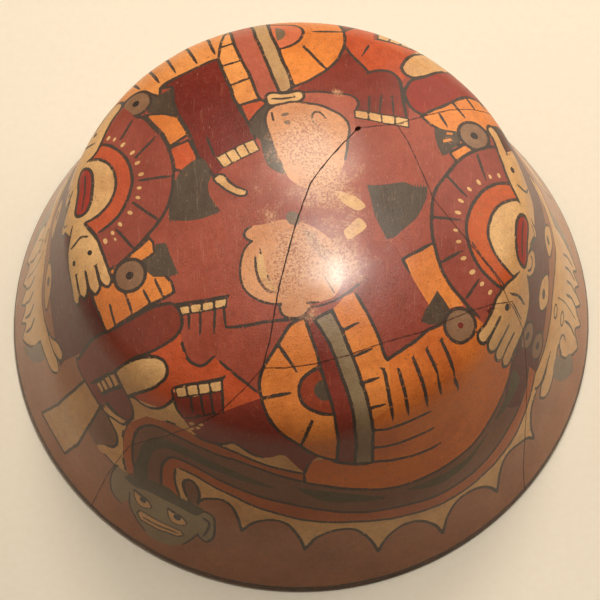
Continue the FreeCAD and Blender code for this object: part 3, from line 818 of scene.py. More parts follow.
def heads():
    """The two worn heads in the middle, one above and one below, and what lies round them."""
    fill("rose", bend((4.4, 42.2), (10, 42.5), (15.6, 41.7), (20, 41.1), (22.4, 39.6), (23.6, 37),
            (21.9, 33.6), (21.6, 28), (21, 23), (14, 24), (2, 38), closed=True))
    line(bend((4.4, 42.4), (10, 42.6), (15.6, 41.7), (20, 41.1), (22.4, 39.6), (23.4, 37.4), (21.9, 34)),
            1.0)
    area("flame", [(-19, 38.4), (-11.2, 40.2), (-9.6, 38.3), (-12.4, 35), (-16.1, 29.8)], edge=1.1)
    fan = bend((-9.6, 38.4), (-12.2, 35.6), (-14.2, 32.2), (-15.4, 28.9), (-15.4, 25.6), (-12.4, 22.8),
            (-11.7, 18.9), (-10.6, 15), (-9.4, 11.7), (-6.7, 9.4), (-3.4, 8))
    fill("soot", fan + [(-2, 11), (-4, 26), (-6.4, 37)])
    head = bend((1.4, 38.3), (5.6, 37.3), (10, 36.4), (13.3, 34.6), (16.7, 32.2), (18.9, 29.2), (19.5, 26),
            (18.9, 22), (18.2, 16), (14, 6), (6, 2), (-1, 5), (-5, 12.6), (-7, 17.6), (-8.8, 24.4),
            (-9.7, 29), (-9.7, 33), (-8.6, 35.6), (-6.6, 36.6))
    fill("buff", head)
    line(head[:int(len(head) * 0.42)], 1.0)
    line(head[int(len(head) * 0.7):], 0.9)
    bow = bend((-9.7, 40.2), (-9.2, 42.3), (-7.4, 43), (-4.4, 42.4), (-1.1, 42.5), (1.7, 43.2), (3.8, 42.2),
            (3.8, 40), (2.4, 38.6), (-1, 38.2), (-5, 37.4), (-8.6, 37.4), closed=True)
    area("cream", bow, edge=1.1)
    line([(-7.4, 40.3), (-3.6, 39.9), (0.1, 40.4)], 1.0)
    dot("smoke", (-2.9, 32.8), 1.4, 0.7, turn=15)
    dot("smoke", (-2.3, 29.3), 1.3, 0.9, turn=-10)
    line([(-7.6, 33.9), (-7.1, 30.4)], 0.9)
    line(bend((10.9, 31.4), (9.6, 33.2), (7.4, 33.6), (6.3, 31.6), (6.9, 29), (8.6, 26.8)), 0.8)
    lower = (bend((-12, -10.8), (-16, -11.3), (-18, -12.6), (-18.4, -14.4), (-17.4, -15.8), (-15.6, -16.6))
            + bend((-15.6, -16.6), (-18.2, -18.8), (-19.6, -22.2), (-20.5, -27), (-20.1, -31.4),
            (-18.2, -35.2), (-14.8, -38), (-10, -39.6), (-4.4, -40), (1.1, -39.8), (6.1, -39.6),
            (11.7, -37.6), (14.6, -33), (15.2, -26), (12.9, -19.8), (8.2, -14.5), (1, -10.6), (-5, -9.4),
            (-12, -10.8))[1:-1])
    fill("buff", lower)
    line(bend((-16, -11.3), (-18, -12.6), (-18.4, -14.4), (-17.4, -15.8), (-15.4, -16.6)), 1.0)
    line(bend((-15.6, -16.6), (-18.2, -18.8), (-19.6, -22.2), (-20.5, -27), (-20.1, -31.4), (-18.2, -35.2),
            (-14.8, -38), (-10, -39.6), (-4.4, -40), (1.1, -39.8), (6.1, -39.6)), 0.85)
    line(bend((-14.9, -23), (-14.6, -27.6), (-13.6, -31.6), (-11.2, -34.8), (-8, -35.7)), 1.0)
    line(bend((-13.2, -20), (-12.6, -24), (-11.4, -28.4), (-9.6, -32.6)), 0.7)
    fill("cream", bend((-14.4, -23), (-12.8, -21), (-11.6, -26), (-9.8, -31.4), (-7.6, -35), (-10.6, -34.2),
            (-13, -31.2), (-14.2, -27.6), closed=True))
    fill("smoke", bend((-3.9, -7.2), (-0.9, -6.4), (0.9, -8.8), (-0.2, -12), (-3, -11), closed=True))
    fill("smoke", bend((2.3, -13.4), (4.9, -14.4), (8.4, -19.6), (11, -22), (9.2, -24.6), (5, -20.6),
            closed=True))
    chin = bend((-7.4, -39.8), (-6.4, -43.6), (-3.4, -45), (1, -44), (3.4, -41.4))
    fill("buff", chin + [(2, -38.6), (-4, -39)])
    line(chin, 0.9)
    line(bend((3.4, -41.4), (8, -40.6), (12.4, -38.8), (16.6, -36.4), (21.6, -32.6)), 0.8)
    line([(8.3, -30), (11.7, -36.7)], 0.5)
    line(bend((11, -21.4), (12.4, -22.2), (14, -21.8)), 0.7)
    row((-28, 16.7), (-14.4, 23), (-12.4, 18.4), (-25.2, 12.2), 4)
    claw = bend((-28.8, 8.7), (-27, 9.8), (-25.1, 9.4), (-23.3, 6.9), (-20.6, 4.4), (-18.1, 3.1),
            (-17.1, 2.4), (-17.3, 0.9), (-19.4, 0.6), (-22.2, 1.9), (-25.6, 4.7), closed=True)
    area("cream", claw, edge=0.9)
    fill("cream", bend((12.8, 0.9), (17.8, 0), (21.7, -2.2), (23.9, -5.2), (21.1, -6.6), (17.8, -5),
            (15, -2.6), closed=True))
    fill("cream", bend((21.1, -9.4), (24.1, -12.6), (20.6, -15.6), (17.2, -17.3), (15.8, -14.4),
            (18.3, -11.7), closed=True))


def lower_half():
    """Bars, squares and the half-disc below the crown, with the orange field to their right."""
    block = [(-43, -37), (-43, -47.2), (-41.6, -52.2), (-40.6, -56.1), (-38.3, -58.3), (-35, -59.2),
            (-32.8, -57.8), (-30.6, -56.5), (-28.9, -58.3), (-22.8, -63.9), (-16.7, -68.9), (-14.8, -71),
            (-11, -60), (-2.2, -46), (0.6, -44.6), (-3.9, -45.1), (-13.9, -46), (-26.1, -46.6), (-26, -37)]
    fill("brick", block)
    line(bend((-43, -38), (-43, -47.2), (-41.6, -52.2), (-40.6, -56.1), (-38.3, -58.5), (-35, -59.3),
            (-32.8, -58), (-30.6, -56.5)), 1.2)
    line([(-28.9, -58.3), (-26.1, -61.1), (-22.8, -63.9), (-19.4, -66.7), (-16, -69.8)], 1.1)
    line(bend((-26.1, -46.7), (-20, -46.8), (-13.9, -46.1), (-8.9, -45.6), (-3.9, -45.3), (0.6, -45)), 1.2)
    row((-42.8, -38), (-25.4, -36.7), (-25.7, -39.6), (-42.6, -41), 4, 0.8)
    line([(-43.6, -37), (-34, -36.6), (-24.8, -35.9)], 1.1, taper=False)
    strokes(1.0, [(-39, -41), (-39.4, -46)], [(-34.7, -40), (-35.3, -48.3)], [(-29.7, -40), (-30.3, -47.8)],
            [(-26.6, -39.4), (-26.3, -46.4)])
    field = ([(20, -34), (29.7, -59.7), (34.4, -56.7), (39.4, -53.1), (44.4, -49.2), (50.3, -46.2),
            (56, -40), (66, -46), (90, -50), (96, -56)] + wall_bend((-30, 107), (-32.5, 109.4),
            (-35, 113.7), (-40, 119.4), (-45, 123.7), (-50, 126.9), (-57.5, 127.6), (-65, 126.9),
            (-73.5, 124.1), (-80, 119.4), (-90.6, 113)) + [(-1.4, -107.8), (0.6, -102.8), (2.2, -100.6),
            (14, -98)])
    fill("amber", field)
    dark = ([(-47.4, -77)] + bend((-46.4, -78.3), (-38, -77), (-28.9, -75.6), (-21.7, -73.6),
            (-14.6, -71.3)) + [(-8, -82), (6, -97)] + bend((2.2, -100.4), (0.6, -102.8), (-1.1, -107),
            (-3.4, -104.2), (-6.1, -100), (-8.3, -97), (-10, -96.2), (-13.9, -97.7), (-17.2, -97.7),
            (-21.1, -96.3), (-24.6, -93), (-27.8, -90), (-33, -90.8), (-38, -90.2), (-42.4, -88),
            (-45.4, -84.4)))
    fill("cream", [(-47, -82), (-35, -91.6), (-20, -100), (-9, -105), (-2.2, -107.2), (-2, -98),
            (-20, -88)])
    fill("maroon", dark)
    fill("flame", [(-47, -74), (-28.6, -73), (-14.6, -69), (-14.8, -71.5), (-21.7, -73.8), (-28.9, -75.8),
            (-47, -78)])
    line(dark[-26:], 1.2)
    line(dark[1:12], 1.1)
    line([(-1.4, -107.8), (0.6, -102.8), (2.2, -100.6)], 1.1)
    line(field[8:-3], 1.15)
    disc = bend((0.6, -45.2), (-2.2, -46.1), (-7.8, -53.1), (-11.7, -58.3), (-14.2, -62.2), (-15.3, -66.5),
            (-15, -71.7), (-13.9, -76.1), (-11.7, -81.1), (-8.3, -85.6), (-3.9, -89.6), (-0.6, -92.8),
            (2.8, -96.1), (6.7, -98.6), (12.8, -100.7))
    fill("orange", disc + [(14, -98), (14, -76), (4, -46)])
    line(disc, 1.3)
    strokes(1.3, [(-7.9, -54.3), (-2.4, -62.9)], [(-15, -71.6), (-4.8, -70.6)], [(2.6, -80.6), (-2, -91.3)])
    inner = bend((6, -62), (2.2, -63.9), (-0.6, -66.3), (-1.8, -70), (-1, -73.6), (1.8, -76.4), (5.6, -78),
            (10.6, -78.8))
    fill("ember", inner + [(12, -70)])
    line(inner, 1.3)
    fill("soot", arc((7, -70.2), 3.6, 60, 300))
    left_edge = [(4.4, -45.6), (7.2, -50), (9.7, -54.4), (11.7, -60), (13.3, -65), (15.3, -70.6),
            (16.7, -76.1), (17.8, -81.7), (18.9, -87.8), (19.7, -93.3), (20.4, -103.6)]
    right_edge = [(24.4, -81.7), (21.7, -71.1), (19.4, -63.9), (16.7, -56.7), (13.9, -49.4), (10.6, -42.6)]
    square_edge = [(28.6, -58.3), (27.2, -53.9), (25.6, -49.4), (23.3, -44.4), (21.1, -40.5)]
    stripe = [(1.4, -45.2), (3.3, -52), (5, -57), (8, -69), (10.6, -78.9), (11.9, -87.2), (12.5, -95.6),
            (12.6, -101.4), *left_edge[::-1], (3.4, -44)]
    area("maroon", stripe, edge=1.2)
    grey = [*left_edge, (28.3, -103.6), (27.2, -96.1), (25.8, -88.9), *right_edge]
    area("grey", grey, edge=1.25)
    line(bend((11.1, -101.1), (18.9, -103.5), (25, -104), (28.6, -103.4)), 1.6)
    ladder = [*right_edge[::-1], (31, -76), (30, -60.4), *square_edge, (19.4, -36.1), (15, -38)]
    fill("orange", ladder)
    line(ladder[:6], 1.2)
    square = [(29.5, -59.9), (34.4, -56.7), (39.4, -53.1), (44.4, -49.2), (50.3, -46.6), (46, -47.4),
            (42.4, -46), (43.9, -41.6), (44.6, -40.2), (41.1, -34.6), (38.2, -29.4), (36, -24.2),
            (34, -19.6), (31, -18), (25, -18), (20, -26), (19.4, -36.1), *square_edge[::-1]]
    # This square is maroon painted lighter for the crown's highlight beside it: a painted highlight
    fill("garnet_with_painted_light", square)
    line([(50.3, -46.4)] + square[:4][::-1] + [*square_edge, (19, -36.4)], 1.25)
    strokes(1.2, [(14.2, -49.6), (19.8, -47.1)], [(18, -58.4), (24.3, -56)], [(20, -67.9), (26.4, -66)],
            [(23.3, -76.9), (28.9, -75.2)])
    strokes(1.35, [(28.2, -63.3), (30, -71), (32.3, -80.8)], [(33.3, -62.8), (38.4, -79.4)], [(38.9, -59.2),
            (46, -76.4)], [(43.9, -56.1), (48, -64.6)], [(48.5, -66.6), (51, -72)], [(49.2, -52.8),
            (55, -63.9)], [(55.8, -66.2), (58.8, -70)])
    for stroke in ([(25.8, -85.8), (30, -86), (34.4, -85), (40, -83.3), (44.4, -81.4), (48.9, -79.6)],
            [(27.2, -95.3), (32.2, -95.3), (37.8, -94.3), (43.3, -92.5), (48.9, -90.6), (54, -88.4)],
            [(28.2, -103.3), (36.7, -103.3), (43.3, -102.5), (50.6, -100.8), (56.1, -98.9), (60, -96.7)]):
        line(bend(*stroke), 1.35)


def lower_left():
    """The leg's sole, its claws and the pale ground beside it."""
    fill("flame", [(-54, -53), (-44.4, -48.3), (-42.6, -46), (-41.4, -52), (-40, -57), (-38, -59),
            (-35, -59.9), (-32.6, -58.2), (-30.6, -57), (-28, -59.4), (-14.6, -71), (-22, -73.4),
            (-28.8, -75.2), (-28.3, -64.6), (-46, -65.6), (-48, -71), (-56, -74), (-68, -70), (-66, -64),
            (-48, -62)])
    pale = ([(-73.4, -66)] + bend((-71, -69.2), (-67.8, -70), (-65.6, -72.3), (-62.2, -74), (-58.3, -74.5),
            (-54.4, -73.7), (-51.1, -72.3), (-47.4, -70)) + [(-47.4, -74.4), (-46.4, -78.4), (-45, -83.6),
            (-42, -88), (-40.6, -88.6), (-54, -81), (-66, -78.4), (-80, -81.6), (-86, -86), (-92, -98),
            (-94, -105), (-108, -92), (-112, -84)] + [(-96, -73), (-88, -74), (-79.6, -81), (-74, -78),
            (-71.6, -73)])
    fill("cream", pale)
    line(pale[1:24], 1.2)
    thumb = bend((-73.4, -58.2), (-70, -56.9), (-65.6, -55.5), (-60, -54.2), (-55.6, -53.9), (-51.7, -54.6),
            (-48.9, -56.6), (-48.1, -59.4), (-49.2, -62.2), (-51.7, -63.9), (-54.4, -65.3), (-58.9, -66.5),
            (-63.3, -67.4), (-67.8, -68.3), (-72.4, -69.3))
    area("cream", thumb, edge=1.3)
    fill("maroon", [(-47.6, -67.2), (-47.4, -74.4), (-46.2, -78.6), (-28.6, -75.6), (-28.4, -68),
            (-40, -70)])
    row((-46, -66.3), (-28.6, -64.8), (-28.6, -68.6), (-45.5, -69.8), 4, 0.8)
    line([(-46.2, -66), (-38, -65.2), (-28, -64)], 1.1, taper=False)
    strokes(1.0, [(-40.3, -70), (-40.6, -75.8)], [(-36.7, -69.4), (-36.4, -76.3)], [(-33.2, -68.9),
            (-32.6, -76.9)], [(-28.4, -64.4), (-28.8, -75.8)], [(-47.4, -67), (-47.4, -74.6)])
    lobe = bend((-113, -79.6), (-104.4, -75.8), (-98.9, -73.3), (-95.6, -72.8), (-92.8, -75.6),
            (-91.7, -80), (-90.8, -84.4), (-91.1, -87.8), (-93.3, -90.6), (-96.1, -91.7), (-100, -91.1),
            (-104.4, -90), (-110, -89.2))
    fill("bark", lobe)
    line(lobe[8:-6], 1.2)
    for x, y in ((-44.6, -80.4), (-42.4, -82.4), (-40.4, -80.8), (-45.4, -83)):
        fill("cream", [(x, y), (x + 1.9, y + 0.6), (x + 2.6, y - 0.6), (x + 0.8, y - 1.1)])


def rubbing():
    """Where handling and cleaning have worn the crown down to the clay."""
    for centre, radius, strength in (((9, 4), 18, 0.9), ((4, 20), 20, 1.1), ((1, -22), 20, 1.0), ((13, -25),
            16, 1.0), ((-5, -30), 16, 0.8), ((22, 10), 14, 0.3), ((16, -8), 14, 0.5), ((2, -44), 8, 0.5),
            ((-10, -8), 14, 0.4), ((-12, 6), 12, 0.35), ((8, 42), 5, 0.3), ((-43, -81), 3.5, 0.7),
            ((-58, -60), 8, 0.3), ((16, 42), 4, 0.6), ((26, -22), 14, 0.2), ((56, 24), 6, 0.3), ((-48, 46),
            6, 0.2), ((-50, -20), 6, 0.2), ((-92, -74), 6, 0.3)):
        worn(centre, radius, strength)


def draw_everything():
    rubbing()
    grounds()
    both(side_face)
    both(scallops)
    both(serpent)
    lower_half()
    upper_half()
    left_side()
    right_side()
    left_figure()
    right_figure()
    heads()
    lower_left()
    wall_foot(list, "plum", FRONT_SHIN)
    # The back leg is painted lighter and redder than the front one, a painted sheen of the light on the back
    wall_foot(half_turn, "crimson_with_painted_sheen", BACK_SHIN)


# From here on the chart is cut into triangles along everything that was drawn, and laid on the bowl.

def inside(points, outline):
    """Which points lie inside a closed outline."""
    found = np.zeros(len(points), bool)
    low, high = outline.min(0), outline.max(0)
    near = np.nonzero(((points > low) & (points < high)).all(1))[0]
    x, y = points[near, 0], points[near, 1]
    within = np.zeros(len(near), bool)
    for (ax, ay), (bx, by) in zip(outline, np.roll(outline, -1, axis=0)):
        if ay != by:
            within ^= ((ay > y) != (by > y)) & (x < ax + (y - ay) * (bx - ax) / (by - ay))
    found[near] = within
    return found


def compass(path):
    """At each chart point: the direction away from the crown, the one round it, and its true scale."""
    reach = np.hypot(path[:, 0], path[:, 1])
    away = path / np.maximum(reach, 1e-6)[:, None]
    scale = np.where(reach > 1, profile(reach)[0] / np.maximum(reach, 1), 1.0)
    return away, np.stack([-away[:, 1], away[:, 0]], 1), scale


def sideways(path, closed):
    """At each point of a path, the move on the chart that is one true millimetre to its left."""
    before = np.roll(path, 1, axis=0) if closed else np.vstack([2 * path[0] - path[1], path[:-1]])
    after = np.roll(path, -1, axis=0) if closed else np.vstack([path[1:], 2 * path[-1] - path[-2]])
    away, around, scale = compass(path)
    run = after - before
    out, turn = (run * away).sum(1), scale * (run * around).sum(1)
    length = np.maximum(np.hypot(out, turn), 1e-9)
    return (-turn / length)[:, None] * away + (out / length / scale)[:, None] * around


def ribbon(places, name):
    """Both broken edges of one joint, a little ragged."""
    path = spaced([(x * REACH, y * REACH) for x, y in places], False)
    seed = len(name) * 3.7
    stray = np.array([[noise.noise(Vector((x / 2.3, y / 2.3, seed + side)))
            + 0.6 * noise.noise(Vector((x / 0.9, y / 0.9, seed + side))) for side in (0, 9)] for x,
            y in path])
    aside = sideways(path, False)
    width = SEAM_WIDTH / 2 + SEAM_RAGGED * stray
    ends = [path[0] - 0.3 * (path[1] - path[0]), path[-1] + 2.0 * (path[-1] - path[-2])]
    left, right = path + aside * width[:, :1], path - aside * width[:, 1:]
    left = np.vstack([left[:1] + ends[0] - path[0], left, left[-1:] + ends[1] - path[-1]])
    right = np.vstack([right[:1] + ends[0] - path[0], right, right[-1:] + ends[1] - path[-1]])
    return np.vstack([left, right[::-1]])


def grid(spacing, limit):
    """Points in a honeycomb over the chart, none of them quite in line."""
    count = int(limit / spacing) + 2
    found = []
    for row in range(-count, count + 1):
        for column in range(-count, count + 1):
            x, y = (column + 0.5 * (row % 2)) * spacing, row * spacing * 0.866
            stray = noise.noise_vector(Vector((x * 0.71, y * 0.67, 1.3)))
            x, y = x + 0.5 * stray.x, y + 0.5 * stray.y
            if math.hypot(x, y) < limit:
                found.append((x, y))
    return np.array(found)


def ink(chart, covered):
    """How far each point lies inside a painted line, in true millimetres, less than nothing outside it."""
    found = np.full(len(chart), -HALO)
    for path, half, closed, order in LINES:
        if closed:
            path, half = np.vstack([path, path[:1]]), np.append(half, half[0])
        for start in range(0, len(path) - 1, 24):
            part, width = path[start:start + 25], half[start:start + 25]
            pad = 1.8 * (width.max() + HALO)
            near = ((chart > part.min(0) - pad) & (chart < part.max(0) + pad)).all(1) & (covered <= order)
            near = np.nonzero(near)[0]
            if not len(near):
                continue
            run = part[1:] - part[:-1]
            away, around, scale = compass((part[1:] + part[:-1]) / 2)
            gap = chart[near][:, None, :] - part[None, :-1]
            out, turn = (gap * away).sum(2), scale * (gap * around).sum(2)
            run_out, run_turn = (run * away).sum(1), scale * (run * around).sum(1)
            share = np.clip((out * run_out + turn * run_turn) / (run_out ** 2 + run_turn ** 2 + 1e-12), 0,
                    1)
            far = np.hypot(out - share * run_out, turn - share * run_turn)
            depth = width[:-1] + share * (width[1:] - width[:-1]) - far
            found[near] = np.maximum(found[near], depth.max(1))
    return found


def chart_mesh():
    """The chart in triangles: its points, its triangles, and for each triangle its slip and its piece."""
    points, edges = [], []

    def constrain(path, closed):
        first = len(points)
        points.extend(path)
        edges.extend((first + i, first + i + 1) for i in range(len(path) - 1))
        if closed:
            edges.append((first + len(path) - 1, first))

    lip = np.array(arc((0, 0), LIP_REACH, 0, 360)[:-1])
    ribbons = {name: ribbon(places, name) for name, places in SEAM_SHARES.items()}
    hole = np.array(oval((BACK_HOLE[0] * REACH, BACK_HOLE[1] * REACH), *HOLE_SIZE, turn=HOLE_TURN))
    for outline in [lip, hole] + list(ribbons.values()):
        constrain(outline, True)
    for _, outline in AREAS:
        constrain(outline, True)
    for path, half, closed, _ in LINES:
        aside = sideways(path, closed) * (half + HALO)[:, None]
        for shift in (-aside, 0, aside):
            constrain(path + shift, closed)
    spread = grid(GRID, LIP_REACH - 1)
    points.extend(spread)
    flat = [Vector((float(x), float(y))) for x, y in points]
    found, _, triangles, *_ = delaunay_2d_cdt(flat, edges, [], 0, CHART_MERGE, True)
    chart = np.array([tuple(point) for point in found])
    triangles = np.array(triangles)
    middle = chart[triangles].mean(1)
    kept = inside(middle, lip)
    reach = np.hypot(chart[:, 0], chart[:, 1])
    on_lip = np.abs(reach - LIP_REACH) < LIP_TOUCH
    chart[on_lip] *= (LIP_REACH / reach[on_lip])[:, None]
    triangles, middle = triangles[kept], middle[kept]
    slip = np.zeros(len(triangles), int)
    for index, (_, outline) in enumerate(AREAS):
        slip[inside(middle, outline)] = index
    gap = np.full(len(triangles), -1)
    names = list(SEAM_SHARES)
    for index in reversed(range(len(names))):
        gap[inside(middle, ribbons[names[index]])] = index
    gap[inside(middle, hole)] = len(names)
    return chart, triangles, middle, slip, gap


def neighbours(triangles):
    """For each triangle the ones that share an edge with it."""
    owners = {}
    for index, corners in enumerate(triangles.tolist()):
        for a, b in zip(corners, corners[1:] + corners[:1]):
            owners.setdefault((min(a, b), max(a, b)), []).append(index)
    found = [[] for _ in triangles]
    for pair in owners.values():
        if len(pair) == 2:
            found[pair[0]].append(pair[1])
            found[pair[1]].append(pair[0])
    return found


def pieces(triangles, middle, gap):
    """The triangles of each sherd, spread from one place inside it up to the joints, and of each joint."""
    beside = neighbours(triangles)
    owner = np.full(len(triangles), -1)
    for number, place in enumerate(SHERD_SHARES.values()):
        start = int(np.argmin(np.hypot(*(middle - np.array(place) * REACH).T) + 1e3 * (gap >= 0)))
        waiting = [start]
        owner[start] = number
        while waiting:
            for other in beside[waiting.pop()]:
                if owner[other] < 0 and gap[other] < 0:
                    owner[other] = number
                    waiting.append(other)
    for index in np.nonzero((owner < 0) & (gap < 0))[0]:
        near = [gap[other] for other in beside[index] if gap[other] >= 0]
        gap[index] = near[0] if near else -2
    found = {name: np.nonzero(owner == number)[0] for number, name in enumerate(SHERD_SHARES)}
    found.update({name: np.nonzero(gap == number)[0] for number, name in enumerate(SEAM_SHARES)})
    return found


def rim_of(triangles):
    """The border of a patch of triangles, as loops of points that have the patch on their left."""
    onward = {}
    counted = set()
    for corners in triangles.tolist():
        for a, b in zip(corners, corners[1:] + corners[:1]):
            counted.add((a, b))
    for a, b in counted:
        if (b, a) not in counted:
            onward.setdefault(a, []).append(b)
    loops = []
    while onward:
        start = next(iter(onward))
        loop = [start]
        while True:
            here = loop[-1]
            choices = onward[here]
            following = choices.pop()
            if not choices:
                del onward[here]
            if following == start:
                break
            loop.append(following)
        loops.append(loop)
    return loops


def tucked(chart):
    """Chart places of the inside: the same, but drawn in a little where the lip's roundings differ."""
    reach = np.hypot(chart[:, 0], chart[:, 1])
    start = LIP_REACH - TUCK
    share = (INNER_LIP_REACH - start) / (LIP_REACH - start)
    moved = np.where(reach > start, start + (reach - start) * share, reach)
    return chart * (moved / np.maximum(reach, 1e-9))[:, None]


def wear(chart):
    """How far the slip is rubbed away at each point."""
    found = np.zeros(len(chart))
    for centre, radius, strength in WORN:
        far = np.hypot(*(chart - np.array(centre)).T) / radius
        share = np.clip(1 - far, 0, 1)
        found = np.maximum(found, strength * share * share * (3 - 2 * share))
    return found


def slab(name, chart, triangles, slip, lines, rubbed):
    """One sherd or one joint: its painted outside, broken edges, inside and lip."""
    is_seam = name in SEAM_SHARES
    sink = 0.0
    if is_seam:
        sink = OPEN_SINK if name in OPEN_SEAMS else SEAM_SINK
    used = np.unique(triangles)
    number = np.full(len(chart), -1)
    number[used] = np.arange(len(used))
    outer, outer_facing = dented(chart[used], sink)
    verts = [tuple(point) for point in outer]
    faces = [tuple(corners) for corners in number[triangles].tolist()]
    kinds = [OUTSIDE] * len(faces)
    facings = [tuple(outer_facing[corner]) for corners in faces for corner in corners]
    loops = rim_of(triangles)
    border = [point for loop in loops for point in loop]
    flat, edges = [], []
    for loop in loops:
        first = len(flat)
        flat.extend(tucked(chart[loop]))
        edges.extend((first + i, first + (i + 1) % len(loop)) for i in range(len(loop)))
    if not is_seam:
        flat.extend(grid(INNER_GRID, INNER_LIP_REACH - 2))
    points = [Vector((float(x), float(y))) for x, y in flat]
    found, _, below, origin, *_ = delaunay_2d_cdt(points, edges, [], 0, INSIDE_MERGE, True)
    found = np.array([tuple(point) for point in found])
    below = np.array(below)
    middle = found[below].mean(1)
    kept = np.zeros(len(below), bool)
    start = 0
    for loop in loops:
        outline = np.array([tuple(point) for point in points[start:start + len(loop)]])
        kept ^= inside(middle, outline)
        start += len(loop)
    below = below[kept]
    home = {}
    for index, sources in enumerate(origin):
        for source in sources:
            home[source] = index
    base = len(verts)
    inner, inner_facing = on_bowl(found, WALL - sink * INSIDE_SINK_SHARE)
    verts += [tuple(point) for point in inner]
    for a, b, c in below.tolist():
        faces.append((base + a, base + c, base + b))
        kinds.append(INSIDE)
        facings += [tuple(-inner_facing[corner]) for corner in (a, c, b)]
    low = {point: base + home[index] for index, point in enumerate(border)}
    steps = lip_steps()
    made = {}
    for loop in loops:
        for a, b in zip(loop, loop[1:] + loop[:1]):
            at_lip = [abs(math.hypot(*chart[point]) - LIP_REACH) < LIP_TOUCH for point in (a, b)]
            if all(at_lip):
                for point in (a, b):
                    if point not in made:
                        azimuth = math.atan2(chart[point][1], chart[point][0])
                        start = len(verts)
                        ring = []
                        for out, height, *_ in steps:
                            verts.append((out * math.cos(azimuth), out * math.sin(azimuth), height))
                        made[point] = [number[point]] + list(range(start, start
                                + len(steps))) + [low[point]]
                rows = [made[a], made[b]]
                for step in range(len(rows[0]) - 1):
                    faces.append((rows[0][step], rows[0][step + 1], rows[1][step + 1], rows[1][step]))
                    kinds.append(LIP)
                    for point, turn in ((a, step), (a, step + 1), (b, step + 1), (b, step)):
                        azimuth = math.atan2(chart[point][1], chart[point][0])
                        _, _, across, up = ([(0, 0, sin(RIM_SLOPE), cos(RIM_SLOPE))] + steps + [(0, 0,
                                -sin(RIM_SLOPE), -cos(RIM_SLOPE))])[turn]
                        facings.append((across * math.cos(azimuth), across * math.sin(azimuth), up))
            else:
                corners = (number[a], low[a], low[b], number[b])
                faces.append(corners)
                kinds.append(BROKEN)
                facings += [flat_facing(verts, corners)] * 4
        for index, point in enumerate(loop):
            before, after = loop[index - 1], loop[(index + 1) % len(loop)]
            if point in made:
                ends = [abs(math.hypot(*chart[other]) - LIP_REACH) < LIP_TOUCH for other in (before, after)]
                if not all(ends):
                    corners = tuple(made[point]) if ends[0] else tuple(reversed(made[point]))
                    faces.append(corners)
                    kinds.append(BROKEN)
                    facings += [flat_facing(verts, corners)] * len(corners)
    return build(name, verts, faces, kinds, facings, slip, lines[used], rubbed[used], len(triangles))


def flat_facing(verts, corners):
    """The direction that a flat face looks."""
    total = Vector((0, 0, 0))
    points = [Vector(verts[corner]) for corner in corners]
    for here, following in zip(points, points[1:] + points[:1]):
        total += here.cross(following)
    return tuple(total.normalized()) if total.length else (0.0, 0.0, 1.0)


def lip_steps():
    """Points of the lip in the plane of its section, with the direction that the lip faces there."""
    found = []
    corner = RIM_DIAMETER / 2 - LIP_ROUND
    first = math.degrees(math.atan2(cos(RIM_SLOPE), sin(RIM_SLOPE)))
    for angle in np.linspace(first, -90, LIP_STEPS)[1:]:
        found.append((corner + LIP_ROUND * cos(angle), LIP_ROUND + LIP_ROUND * sin(angle), cos(angle),
                sin(angle)))
    inner = profile(INNER_LIP_REACH)
    foot = float(inner[0]) - WALL * sin(RIM_SLOPE) + LIP_ROUND * sin(RIM_SLOPE)
    for angle in np.linspace(-90, first - 180, LIP_STEPS)[:-1]:
        found.append((foot + LIP_ROUND * cos(angle), LIP_ROUND + LIP_ROUND * sin(angle), cos(angle),
                sin(angle)))
    return found


def build(name, verts, faces, kinds, facings, slip, lines, rubbed, painted):
    """A mesh object from its points and faces, with what the paint's material needs to know."""
    mesh = bpy.data.meshes.new(name)
    mesh.from_pydata([tuple(value * MM for value in vert) for vert in verts], [], faces)
    mesh.polygons.foreach_set("material_index", kinds)
    mesh.polygons.foreach_set("use_smooth", [True] * len(faces))
    for label, known, rest in (("ink", lines, -HALO), ("worn", rubbed, 0.0)):
        values = np.full(len(verts), rest)
        values[:len(known)] = known
        mesh.attributes.new(label, "FLOAT", "POINT").data.foreach_set("value", values)
    tint = np.zeros((len(mesh.loops), 4))
    tint[:, 3] = 1
    tint[:painted * 3, :3] = np.repeat([SLIPS[AREAS[index][0]] for index in slip], 3, axis=0)
    mesh.attributes.new("slip", "FLOAT_COLOR", "CORNER").data.foreach_set("color", tint.ravel())
    mesh.normals_split_custom_set(facings)
    mesh.update()
    piece = bpy.data.objects.new("painted_" + name if name in SHERD_SHARES else "filled_" + name, mesh)
    bpy.context.scene.collection.objects.link(piece)
    return piece


# Colours of the slips, as they look in plain daylight. Two lighter maroons also carry painted light, as
# noted below.
def daylight(red, green, blue):
    """A colour of eight-bit steps as the light that it gives back."""
    return tuple(((part / 255 + 0.055) / 1.055) ** 2.4 if part > 10 else part / 3295 for part in (red,
            green, blue))


